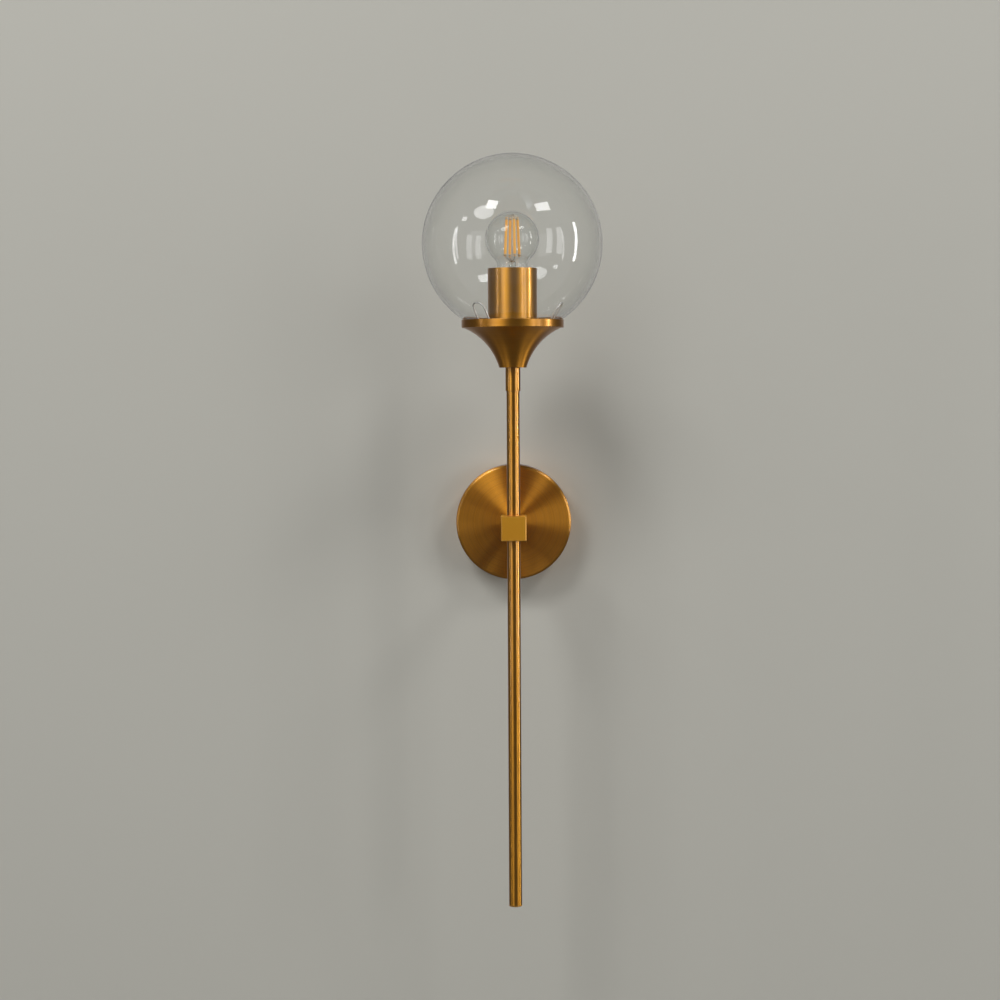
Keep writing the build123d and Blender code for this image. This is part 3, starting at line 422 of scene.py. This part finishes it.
def satin_brass(name, settings):
    """Fine-ground flat brass."""
    material = bpy.data.materials.new(name)
    graph = Graph(material)
    place = graph.place()
    x, y, z = graph.parts(place)
    grain = graph.noise(graph.joined(x, y, z * 0.05), 5200.0, 3.0, 0.6)
    base, roughness = brass_parts(graph, settings, grain, -0.1)
    base = graph.mix(base, settings.bright, 0.8)
    # The cube's edges get a full-strength pale edge: wear and a painted edge highlight.
    base = worn_and_highlit_edges(graph, base, settings, 0.0018, 1.0)
    graph.surface(
        Base_Color=base, Metallic=1.0, Roughness=roughness + 0.20, Anisotropic=0.7,
        Normal=graph.bump(grain, 0.00001, 0.3), Coat_Weight=lacquer(graph) * 0.4, Coat_Roughness=0.3,
    )
    return material


def spun_dish(material):
    """The back plate about its own Z, stood on the wall, so that its brushing runs in rings."""
    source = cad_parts["back_plate"]
    turn = Matrix.Rotation(radians(90), 4, "X")
    mesh = source.data.copy()
    mesh.name = "spun_dish"
    mesh.transform(turn.inverted())
    mesh.materials.clear()
    mesh.materials.append(material)
    dish = bpy.data.objects.new("spun_dish", mesh)
    dish.matrix_world = turn
    bpy.context.scene.collection.objects.link(dish)
    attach(dish, "fixture")
    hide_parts("back_plate")


class SCONCE_OT_brass(bpy.types.Operator):
    """Brass finishes of plate, cube, tubes, cup and sleeve."""

    bl_idname = "sconce.brass"
    bl_label = "Brass"

    def execute(self, context):
        settings = context.scene.sconce_brass
        spun_dish(spun_brass("spun_plate", settings))
        satin = satin_brass("satin_cube", settings)
        finish_nodes(satin, "centre_block", "plate_grub_screws", "tube_end_plug")
        # The brown tones of tubes and cup are partly painted shade: they darken the brass as
        # inter-reflections and dark surroundings would.
        drawn = turned_brass(
            "drawn_tube", settings, tone=0.2, anisotropic=0.97, rough=-0.04, grain=0.3,
            film=0.12, drift=0.1,
        )
        finish_nodes(drawn, "upper_tube", "lower_tube", "arm_tube")
        turned = turned_brass(
            "turned_ferrule", settings, tone=0.1, anisotropic=0.95, rough=-0.04, grain=0.5,
            film=0.12, drift=0.1,
        )
        finish_nodes(turned, "ferrule")
        cup = turned_brass("turned_cup", settings, tone=0.35, anisotropic=0.88, rough=0.06, coat=0.5)
        finish_nodes(cup, "trumpet_cup")
        sleeve = turned_brass("sleeve", settings, tone=-0.1, anisotropic=0.84, rough=0.06, film=0.14)
        finish_nodes(sleeve, "socket_sleeve")
        contacts = turned_brass("contact_brass", settings, anisotropic=0.3)
        finish_nodes(contacts, "centre_contact", "terminal_posts", "earth_screw", "terminal_barrels")
        return {"FINISHED"}


# ---------------------------------------------------------------- glass
def clear_glass(name, settings, tint, wobble):
    """Blown glass with faint waves, a few dust specks and a slightly smeared surface."""
    material = bpy.data.materials.new(name)
    graph = Graph(material)
    place = graph.place()
    waves = graph.noise(place, 14.0, 2.0, 0.4) + graph.noise(place, 55.0, 1.0) * 0.12
    film = graph.noise(place, 22.0, 3.0, 0.6).between(0.52, 0.8)
    speck = graph.cells(place, 420.0).between(0.05, 0.02)
    rare = graph.noise(place, 300.0, 0.0).between(0.70, 0.74)
    glass = graph.principled(
        Base_Color=graph.mix(tint, shade(tint, 0.97), film),
        Roughness=film * 0.006 + speck * rare * 0.3,
        IOR=settings.ior, Transmission_Weight=1.0, Normal=graph.bump(waves, wobble, 0.5),
    )
    inputs = {0: lets_light_by(graph), 1: glass, 2: graph.clear(0.975)}
    graph.node_output(graph.node("ShaderNodeMixShader", inputs))
    return material


def lets_light_by(graph):
    """1 for shadow rays and for reflections from other surfaces, which pass straight through the glass.

    A ray inside the glass has been refracted an odd number of times.
    """
    shadow, reflected, crossings = [
        graph.node("ShaderNodeLightPath", output=name)
        for name in ("Is Shadow Ray", "Is Reflection Ray", "Transmission Depth")
    ]
    outside = 1.0 - graph.math("MODULO", crossings, 2.0)
    return graph.math("MAXIMUM", shadow, reflected * outside)


def smoked_glass(name):
    """Opaque black glass with a fire-polished surface."""
    material = bpy.data.materials.new(name)
    graph = Graph(material)
    place = graph.place()
    swirl = graph.noise(place, 260.0, 3.0)
    graph.surface(
        Base_Color=graph.mix((0.012, 0.010, 0.014), (0.03, 0.022, 0.03), swirl),
        Roughness=swirl.between(0.3, 0.7, 0.06, 0.18), Normal=graph.bump(swirl, 0.00005, 0.4),
    )
    return material


class SCONCE_OT_glass(bpy.types.Operator):
    """Glass of the globe, the lamp and its stem."""

    bl_idname = "sconce.glass"
    bl_label = "Glass"

    def execute(self, context):
        settings = context.scene.sconce_glass
        tint = tuple(settings.tint)
        for name, tone, waves, node in (
            ("globe_glass", tint, 1.0, "glass_globe"),
            ("lamp_glass_clear", shade(tint, 0.995), 0.3, "lamp_glass"),
            ("stem_glass", (0.93, 0.95, 0.93), 0.2, "lamp_stem"),
        ):
            finish_nodes(clear_glass(name, settings, tone, settings.wobble * waves), node)
        finish_nodes(smoked_glass("black_glass"), "lamp_insulator")
        return {"FINISHED"}


# ---------------------------------------------------------------- plated and plain metal
def plated(name, tone, rough, scale, spots=0.1, stain=(0.35, 0.30, 0.24)):
    """Plated metal: soft crystalline mottling, handling marks and faint stains."""
    material = bpy.data.materials.new(name)
    graph = Graph(material)
    place = graph.place()
    mottle = graph.noise(place, scale, 4.0, 0.6)
    cell = graph.cells(place, scale * 1.7, "Color")
    stains = graph.noise(place, 60.0, 4.0, 0.65).between(0.60, 0.78)
    base = graph.mix(shade(tone, 0.86), shade(tone, 1.06), mottle.between(0.3, 0.7))
    base = graph.mix(base, stain, stains * spots)
    scratches = graph.noise(graph.vector("MULTIPLY", place, (0.08, 1.0, 1.0)), scale * 6.0, 2.0)
    graph.surface(
        Base_Color=base, Metallic=1.0,
        Roughness=rough + (mottle - 0.5) * 0.12 + graph.parts(cell)[0] * 0.04 + stains * 0.12,
        Normal=graph.bump(scratches, 0.00001, 0.35), Anisotropic=0.2,
    )
    return material


def threaded_metal(name, tone, rough, pitch):
    """Plated metal that carries a rolled thread about the column's axis as relief, with painted shade
    darkening the thread's roots.
    """
    material = bpy.data.materials.new(name)
    graph = Graph(material)
    place = graph.place()
    x, y, z = graph.parts(place)
    turn = graph.math("ARCTAN2", y - COLUMN.y, x) / tau
    ridge = graph.math("SINE", (z / pitch - turn) * tau)
    mottle = graph.noise(place, 500.0, 3.0)
    # Thread roots are painted darker as shade and crests lighter, following the ridge.
    graph.surface(
        Base_Color=graph.mix(
            shade(tone, 0.8), tone, ridge.between(-1, 1, 0.2, 1.0) * mottle.between(0.2, 0.6)
        ),
        Metallic=1.0, Roughness=rough + mottle * 0.1, Normal=graph.bump(ridge, 0.0002, 0.8),
    )
    return material


class SCONCE_OT_metal(bpy.types.Operator):
    """Zinc, steel, nickel, tin and wire finishes."""

    bl_idname = "sconce.metal"
    bl_label = "Metal"

    def execute(self, context):
        settings = context.scene.sconce_metal
        zinc = tuple(settings.zinc)
        finish_nodes(
            plated("zinc_plate", zinc, 0.30, 420.0),
            "gallery_plate", "spring_clamps", "spring_screws", "arm_washer", "wall_bracket",
            "post_screws", "terminal_screws", "block_screws", "arm_lock_nut", "cup_lock_nut",
        )
        finish_nodes(threaded_metal("threaded_zinc", zinc, 0.30, 0.001), "holder_nipple")
        finish_nodes(plated("spring_wire", tuple(settings.steel), 0.45, 900.0, 0.05), "globe_springs")
        nickel = tuple(settings.nickel)
        finish_nodes(threaded_metal("shell_nickel", nickel, 0.24, THREAD_PITCH), "screw_shell")
        finish_nodes(plated("cap_nickel", nickel, 0.24, 700.0), "lamp_tip", "lamp_cap")
        finish_nodes(plated("tinned", tuple(settings.tin), 0.34, 800.0), "earth_lug")
        finish_nodes(plated("lamp_wire", tuple(settings.wire), 0.30, 1500.0, 0.3), "lamp_supports")
        return {"FINISHED"}


# ---------------------------------------------------------------- insulation
def moulded(name, tone, rough, grain, gloss=0.5, subsurface=0.0):
    """Moulded material: fine die texture, soft colour drift and scuffs."""
    material = bpy.data.materials.new(name)
    graph = Graph(material)
    place = graph.place()
    drift = graph.noise(place, 45.0, 3.0)
    skin = graph.noise(place, grain, 3.0, 0.6)
    streaks = graph.vector("MULTIPLY", place, (1.0, 0.15, 1.0))
    scuff = graph.noise(streaks, 700.0, 3.0).between(0.62, 0.74)
    base = graph.mix(shade(tone, 0.88), shade(tone, 1.08), drift.between(0.3, 0.7))
    base = graph.mix(base, shade(tone, 1.5), scuff * 0.15)
    graph.surface(
        Base_Color=base, Roughness=rough + (skin - 0.5) * 0.14 + scuff * 0.12,
        Normal=graph.bump(skin, 0.00003, 0.5), Specular_IOR_Level=gloss, Subsurface_Weight=subsurface,
        Subsurface_Scale=0.002,
    )
    return material


def striped_wire(name, first, second):
    """Insulation with two colours along the lead, split across the wire."""
    material = bpy.data.materials.new(name)
    graph = Graph(material)
    place = graph.place()
    x, y = graph.parts(place)[:2]
    side = graph.math("SINE", (x + y) / 0.0011)
    skin = graph.noise(place, 1500.0, 2.0)
    base = graph.mix(first, second, side.between(-0.12, 0.12))
    graph.surface(
        Base_Color=graph.mix(base, (0.02, 0.02, 0.02), skin * 0.1), Roughness=0.36 + skin * 0.1,
        Normal=graph.bump(skin, 0.00002, 0.4),
    )
    return material


def circuit_board(name, tone):
    """Green laminate with pale tracks and pads."""
    material = bpy.data.materials.new(name)
    graph = Graph(material)
    place = graph.place()
    x = graph.parts(place)[0]
    stripes = graph.math("SINE", x / 0.00045).between(0.7, 0.9)
    tracks = stripes * graph.noise(place, 260.0, 0.0).above(0.5)
    weave = graph.noise(place, 2200.0, 2.0)
    base = graph.mix(tone, (0.10, 0.42, 0.15), tracks * 0.6)
    graph.surface(
        Base_Color=graph.mix(base, shade(tone, 0.6), weave * 0.4), Roughness=0.28 + weave * 0.15,
        Normal=graph.bump(tracks + weave * 0.2, 0.00004, 0.5),
    )
    return material


class SCONCE_OT_insulation(bpy.types.Operator):
    """Plastic, silicone, ceramic, circuit board and wire insulation."""

    bl_idname = "sconce.insulation"
    bl_label = "Insulation"

    def execute(self, context):
        settings = context.scene.sconce_insulation
        black = moulded("black_moulded", tuple(settings.black), 0.42, 2600.0)
        finish_nodes(black, "holder_cap", "holder_skirt")
        white = moulded("white_moulded", tuple(settings.white), 0.38, 2000.0)
        finish_nodes(white, "terminal_block")
        soft = moulded("seat_silicone", tuple(settings.silicone), 0.5, 1800.0, 0.4, 0.3)
        finish_nodes(soft, "seat_ring")
        glazed = moulded("glazed_ceramic", tuple(settings.ceramic), 0.24, 900.0, 0.6, 0.1)
        finish_nodes(glazed, "contact_block")
        finish_nodes(circuit_board("driver_board", tuple(settings.board)), "lamp_driver")
        finish_nodes(moulded("brown_lead", tuple(settings.live), 0.4, 1600.0), "live_wire")
        finish_nodes(moulded("blue_lead", tuple(settings.neutral), 0.4, 1600.0), "neutral_wire")
        green, yellow = tuple(settings.earth_green), tuple(settings.earth_yellow)
        finish_nodes(striped_wire("earth_lead", green, yellow), "earth_wire")
        return {"FINISHED"}


# ---------------------------------------------------------------- lamp details
def lathe(bm, profile, steps, place=Matrix()):
    """Adds a closed profile of (radius, height) turned about Z, then moved."""
    rows = []
    for i in range(steps):
        angle = tau * i / steps
        ring = [Vector((r * cos(angle), r * sin(angle), z)) for r, z in profile]
        rows.append([bm.verts.new(place @ point) for point in ring])
    for i in range(steps):
        this, following = rows[i], rows[(i + 1) % steps]
        for j in range(len(profile)):
            k = (j + 1) % len(profile)
            bm.faces.new((this[j], following[j], following[k], this[k]))


def filament_collars(bm, settings):
    """A small crimped metal collar round each end of every filament."""
    low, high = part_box("lamp_filaments")
    bottom, top = low[2], high[2]
    radius, tall, lip = settings.collar_radius, settings.collar_length, 0.0002
    bore = radius - 0.0001
    outline = [
        (bore, 0), (radius - lip, 0), (radius, lip),
        (radius, tall - lip), (radius - lip, tall), (bore, tall),
    ]
    sides, inset = 20, 0.0004
    for i in range(FILAMENTS):
        azimuth = radians(settings.filament_turn) + i * tau / FILAMENTS
        turn = Matrix.Translation(COLUMN) @ Matrix.Rotation(azimuth, 4, "Z")
        foot = Vector((settings.filament_low_radius, 0, bottom))
        head = Vector((settings.filament_top_radius, 0, top))
        axis = (head - foot).normalized()
        tilt = axis.to_track_quat("Z", "Y").to_matrix().to_4x4()
        for start in (foot + axis * inset, head - axis * (tall + inset)):
            lathe(bm, outline, sides, turn @ Matrix.Translation(start) @ tilt)


def amber_phosphor(name, settings):
    """Soft amber coating with a row of faintly visible chips and a painted glow: the coating emits light
    though the lamp is off.
    """
    material = bpy.data.materials.new(name)
    graph = Graph(material)
    place = graph.place()
    z = graph.parts(place)[2]
    chips = graph.math("SINE", z / 0.00021).between(0.2, 0.9)
    grain = graph.noise(place, 2600.0, 2.0)
    amber = tuple(settings.phosphor)
    base = graph.mix(amber, (0.92, 0.50, 0.10), chips * 0.35 + grain * 0.2)
    graph.surface(
        Base_Color=base, Roughness=0.38 + grain * 0.12, Subsurface_Weight=0.25, Subsurface_Scale=0.001,
        # Emission paints a glow on the filaments; the lamp is not lit.
        Emission_Color=graph.mix(shade(amber, 0.9), (1.0, 0.60, 0.22), chips * 0.5),
        Emission_Strength=settings.glow, Normal=graph.bump(chips * 0.5 + grain, 0.00006, 0.5),
    )
    return material


def thread_radius(settings, z, low, high, angle):
    """Radius of the rolled thread at a height and an angle, faded out at its two ends."""
    middle = (settings.crest + settings.root) / 2
    swing = (settings.crest - settings.root) / 2
    fade = min(1.0, max(0.0, (z - low) / settings.pitch), max(0.0, (high - z) / settings.pitch))
    return middle + swing * fade * cos(tau * (z / settings.pitch) - angle)


def threaded_cap(bm, settings):
    """The lamp's screw cap: a shell of sheet metal with a rolled thread and a smooth collar."""
    low, high = (corner[2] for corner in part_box("lamp_cap"))
    collar = high - settings.collar_top
    collar_radius = (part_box("lamp_cap")[1][0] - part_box("lamp_cap")[0][0]) / 2
    levels = 64
    nose, shoulder, edge, lip = 0.0022, 0.0006, 0.0001, 0.0002
    start, end = low + 0.0008, collar - 0.0004
    thread_low, thread_high = low + 0.0016, collar - 0.0006
    heights = [start + (end - start) * j / levels for j in range(levels + 1)]
    angles = [tau * i / settings.steps for i in range(settings.steps)]
    rings = []
    for offset in (0.0, -settings.metal):
        column = [[(settings.root - nose + offset, low)] * settings.steps]
        column.append([(settings.root - shoulder + offset, low + edge)] * settings.steps)
        for z in heights:
            column.append([
                (thread_radius(settings, z, thread_low, thread_high, angle) + offset, z)
                for angle in angles
            ])
        for inset, z in ((edge, collar), (0, collar + 0.0003), (0, high - lip), (edge, high)):
            column.append([(collar_radius - inset + offset, z)] * settings.steps)
        rings.append(column)
    loop = rings[0] + rings[1][::-1]
    verts = []
    for row in loop:
        verts.append([
            bm.verts.new(COLUMN + Vector((r * cos(angle), r * sin(angle), z)))
            for angle, (r, z) in zip(angles, row)
        ])
    for j in range(len(verts)):
        upper = verts[(j + 1) % len(verts)]
        for i in range(settings.steps):
            k = (i + 1) % settings.steps
            bm.faces.new((verts[j][i], verts[j][k], upper[k], upper[i]))


class SCONCE_OT_lamp(bpy.types.Operator):
    """Filaments with end collars, and the lamp's threaded cap."""

    bl_idname = "sconce.lamp"
    bl_label = "Lamp"

    def execute(self, context):
        settings = context.scene.sconce_lamp
        finish_nodes(amber_phosphor("amber_phosphor", settings), "lamp_filaments")
        metal = context.scene.sconce_metal
        bm = bmesh.new()
        filament_collars(bm, settings)
        collar_metal = plated("collar_metal", tuple(metal.wire), 0.35, 1500.0)
        new_piece("filament_collars", bm, collar_metal, "lamp")
        bm = bmesh.new()
        threaded_cap(bm, settings)
        cap_metal = plated("thread_nickel", tuple(metal.nickel), 0.22, 600.0)
        new_piece("threaded_cap", bm, cap_metal, "lamp", "lamp_cap")
        return {"FINISHED"}


# ---------------------------------------------------------------- screws
def cross_depth(settings, x, y):
    """Depth of the cross recess at a point of the head."""
    reach, half = settings.recess_reach, settings.recess_width / 2
    depth = 0.0
    for along, across in ((abs(x), abs(y)), (abs(y), abs(x))):
        if along < reach:
            wall = min(1.0, max(0.0, (half * 1.6 - across) / (half * 0.8)))
            depth = max(depth, wall * (1.0 - 0.75 * along / reach))
    return depth * settings.recess_depth


def cross_screw(bm, settings, foot, shank_low):
    """A pan head screw with a cross recess. The foot is the middle of the head's underside."""
    steps, rings, edge = 48, 14, 0.0002
    head, height, shank = settings.head_radius, settings.head_height, settings.shank_radius
    around = [(cos(tau * i / steps), sin(tau * i / steps)) for i in range(steps)]
    rows = []
    for j in range(1, rings + 1):
        share = j / rings
        r = head * sin(share * pi / 2)
        dome = height * (0.62 + 0.38 * cos(share * pi / 2))
        row = []
        for x, y in around:
            x, y = r * x, r * y
            row.append(bm.verts.new(foot + Vector((x, y, dome - cross_depth(settings, x, y)))))
        rows.append(row)
    for r, z in ((head, edge), (head - edge, 0), (shank, 0), (shank, shank_low)):
        rows.append([bm.verts.new(foot + Vector((r * x, r * y, z))) for x, y in around])
    centre = bm.verts.new(foot + Vector((0, 0, height - settings.recess_depth)))
    tail = bm.verts.new(foot + Vector((0, 0, shank_low)))
    for i in range(steps):
        k = (i + 1) % steps
        bm.faces.new((centre, rows[0][i], rows[0][k]))
        bm.faces.new((tail, rows[-1][k], rows[-1][i]))
        for this, following in zip(rows, rows[1:]):
            bm.faces.new((this[i], following[i], following[k], this[k]))


class SCONCE_OT_screws(bpy.types.Operator):
    """Cross-recessed screws on the three spring clamps."""

    bl_idname = "sconce.screws"
    bl_label = "Screws"

    def execute(self, context):
        settings = context.scene.sconce_screws
        low, high = (corner[2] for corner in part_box("spring_screws"))
        underside = high - settings.head_height
        bm = bmesh.new()
        for i in range(CLAMPS):
            angle = radians(settings.first_azimuth + 360 / CLAMPS * i)
            outward = Vector((cos(angle), sin(angle), 0)) * settings.clamp_radius
            foot = COLUMN + outward + Vector((0, 0, underside))
            cross_screw(bm, settings, foot, low - underside)
        material = plated("screw_zinc", tuple(context.scene.sconce_metal.zinc), 0.22, 900.0)
        new_piece("cross_screws", bm, material, "fixture", "spring_screws")
        return {"FINISHED"}


# ---------------------------------------------------------------- stage
def board(name, corners, material):
    """A flat rectangle that isn't part of the object."""
    bm = bmesh.new()
    bm.faces.new([bm.verts.new(corner) for corner in corners])
    mesh = bpy.data.meshes.new(name)
    bm.to_mesh(mesh)
    bm.free()
    sheet = bpy.data.objects.new(name, mesh)
    bpy.context.scene.collection.objects.link(sheet)
    mesh.materials.append(material)
    return sheet


def paint(name, tone, one_sided):
    """Rolled matt paint. A one-sided board can't be seen from behind."""
    material = bpy.data.materials.new(name)
    graph = Graph(material)
    place = graph.place()
    stipple = graph.noise(place, 700.0, 2.0)
    drift = graph.noise(place, 1.6, 2.0)
    inputs = {
        "Base Color": graph.mix(shade(tone, 0.97), shade(tone, 1.03), drift),
        "Roughness": stipple * 0.1 + 0.75,
        "Normal": graph.bump(stipple, 0.0001, 0.15), "Specular IOR Level": 0.2,
    }
    shader = graph.node("ShaderNodeBsdfPrincipled", inputs)
    if one_sided:
        behind = graph.node("ShaderNodeNewGeometry", output="Backfacing")
        shader = graph.node("ShaderNodeMixShader", {0: behind, 1: shader, 2: graph.clear()})
    graph.node_output(shader)
    return material


def soft_light(name, direction, distance, size, radiance, shape="RECTANGLE"):
    """An area light that faces the globe from a direction."""
    data = bpy.data.lights.new(name, "AREA")
    data.shape = shape
    data.size, data.size_y = size
    data.energy = radiance * pi * size[0] * size[1]
    light = bpy.data.objects.new(name, data)
    direction = Vector(direction).normalized()
    light.location = GLOBE_CENTRE + direction * distance
    light.rotation_euler = direction.to_track_quat("Z", "Y").to_euler()
    light.visible_camera = False
    light.visible_transmission = False
    bpy.context.scene.collection.objects.link(light)


def room_light(settings):
    """A dim even world that looks paler to the camera."""
    world = bpy.data.worlds.new("room")
    bpy.context.scene.world = world
    graph = Graph(world)
    seen = graph.node("ShaderNodeLightPath", output="Is Camera Ray")
    through = graph.node("ShaderNodeLightPath", output="Is Transmission Ray")
    share = graph.math("MAXIMUM", seen, through)
    toward = graph.parts(graph.node("ShaderNodeTexCoord", output="Generated"))[1]
    level = toward.between(0.70, 0.95, settings.room, settings.behind)
    strength = share * (settings.background - level) + level
    shader = graph.node("ShaderNodeBackground", {"Color": (1.0, 0.985, 0.96, 1.0), "Strength": strength})
    graph.node_output(shader, "ShaderNodeOutputWorld")


def aim_camera(settings):
    """The photograph's viewpoint."""
    data = bpy.data.cameras.new("viewpoint")
    data.sensor_width = SENSOR_WIDTH
    data.lens = settings.camera_lens
    data.shift_x, data.shift_y = settings.shift_x, settings.shift_y
    camera = bpy.data.objects.new("viewpoint", data)
    level = Matrix.Rotation(radians(90 - settings.camera_pitch), 4, "X")
    roll = Matrix.Rotation(radians(-settings.camera_roll), 4, "Z")
    camera.matrix_world = Matrix.Translation((0, -settings.camera_y, settings.camera_z)) @ level @ roll
    bpy.context.scene.collection.objects.link(camera)
    bpy.context.scene.camera = camera


class SCONCE_OT_stage(bpy.types.Operator):
    """Wall, floor, soft lights, world and camera."""

    bl_idname = "sconce.stage"
    bl_label = "Stage"

    def execute(self, context):
        settings = context.scene.sconce_stage
        wide, gap = settings.wall_size, settings.wall_gap
        low, floor = settings.floor_height, settings.floor_size
        top = low + wide
        wall = board(
            "wall_board", [(-wide, gap, low), (wide, gap, low), (wide, gap, top), (-wide, gap, top)],
            paint("wall_paint", tuple(settings.wall), True),
        )
        wall.visible_glossy = False
        wall.visible_shadow = False
        board(
            "floor_board",
            [(-floor, -floor, low), (floor, -floor, low), (floor, floor, low), (-floor, floor, low)],
            paint("floor_paint", tuple(settings.floor), False),
        ).visible_glossy = False
        far = settings.distance
        soft_light("box_left", (-0.375, -0.586, 0.718), far, (0.66, 0.56), settings.left_radiance)
        soft_light("glow_left", (-0.540, -0.615, 0.575), far, (1.30, 0.90), settings.glow, "ELLIPSE")
        soft_light("lamp_left", (-0.834, -0.356, 0.421), far, (0.34, 0.25), settings.left_radiance * 0.5)
        soft_light("box_right", (0.559, -0.508, 0.656), far, (0.92, 0.52), settings.right_radiance)
        panes = ("pane_near", (0.740, -0.672, 0.022)), ("pane_far", (0.880, -0.470, 0.032))
        for name, direction in panes:
            soft_light(name, direction, far, (0.42, 1.5), settings.right_room * 1.2)
        soft_light("room_left", (-0.698, -0.715, -0.021), far, (1.0, 1.5), settings.left_room)
        soft_light("strip_left", (-0.965, -0.262, 0.006), far, (0.15, 1.7), settings.left_strip)
        soft_light("strip_right", (0.995, -0.040, 0.030), far, (0.22, 1.9), settings.right_strip)
        room_light(settings)
        aim_camera(settings)
        context.scene.view_settings.view_transform = "Standard"
        return {"FINISHED"}


# ---------------------------------------------------------------- panel and registration
OPERATORS = (
    SCONCE_OT_stage, SCONCE_OT_brass, SCONCE_OT_glass, SCONCE_OT_metal,
    SCONCE_OT_insulation, SCONCE_OT_lamp, SCONCE_OT_screws,
)
GROUPS = {
    "sconce_stage": SconceStage,
    "sconce_brass": SconceBrass,
    "sconce_glass": SconceGlass,
    "sconce_metal": SconceMetal,
    "sconce_insulation": SconceInsulation,
    "sconce_lamp": SconceLamp,
    "sconce_screws": SconceScrews,
}


class SCONCE_PT_panel(bpy.types.Panel):
    """Settings and steps of the sconce."""

    bl_idname = "SCONCE_PT_panel"
    bl_label = "Globe Wall Sconce"
    bl_space_type = "VIEW_3D"
    bl_region_type = "UI"
    bl_category = "Sconce"

    def draw(self, context):
        for operator in OPERATORS:
            self.layout.operator(operator.bl_idname)
        for name, group in GROUPS.items():
            box = self.layout.box()
            box.label(text=group.__doc__)
            for setting in group.__annotations__:
                box.prop(getattr(context.scene, name), setting)


def register():
    for cls in (*GROUPS.values(), *OPERATORS, SCONCE_PT_panel):
        bpy.utils.register_class(cls)
    for name, group in GROUPS.items():
        setattr(bpy.types.Scene, name, PointerProperty(type=group))


def unregister():
    for name in GROUPS:
        delattr(bpy.types.Scene, name)
    for cls in reversed((*GROUPS.values(), *OPERATORS, SCONCE_PT_panel)):
        bpy.utils.unregister_class(cls)


def main():
    """Registers the add-on and runs every step."""
    register()
    bpy.ops.sconce.stage()
    bpy.ops.sconce.brass()
    bpy.ops.sconce.glass()
    bpy.ops.sconce.metal()
    bpy.ops.sconce.insulation()
    bpy.ops.sconce.lamp()
    bpy.ops.sconce.screws()
    bpy.context.view_layer.update()


if __name__ == "__main__":
    main()
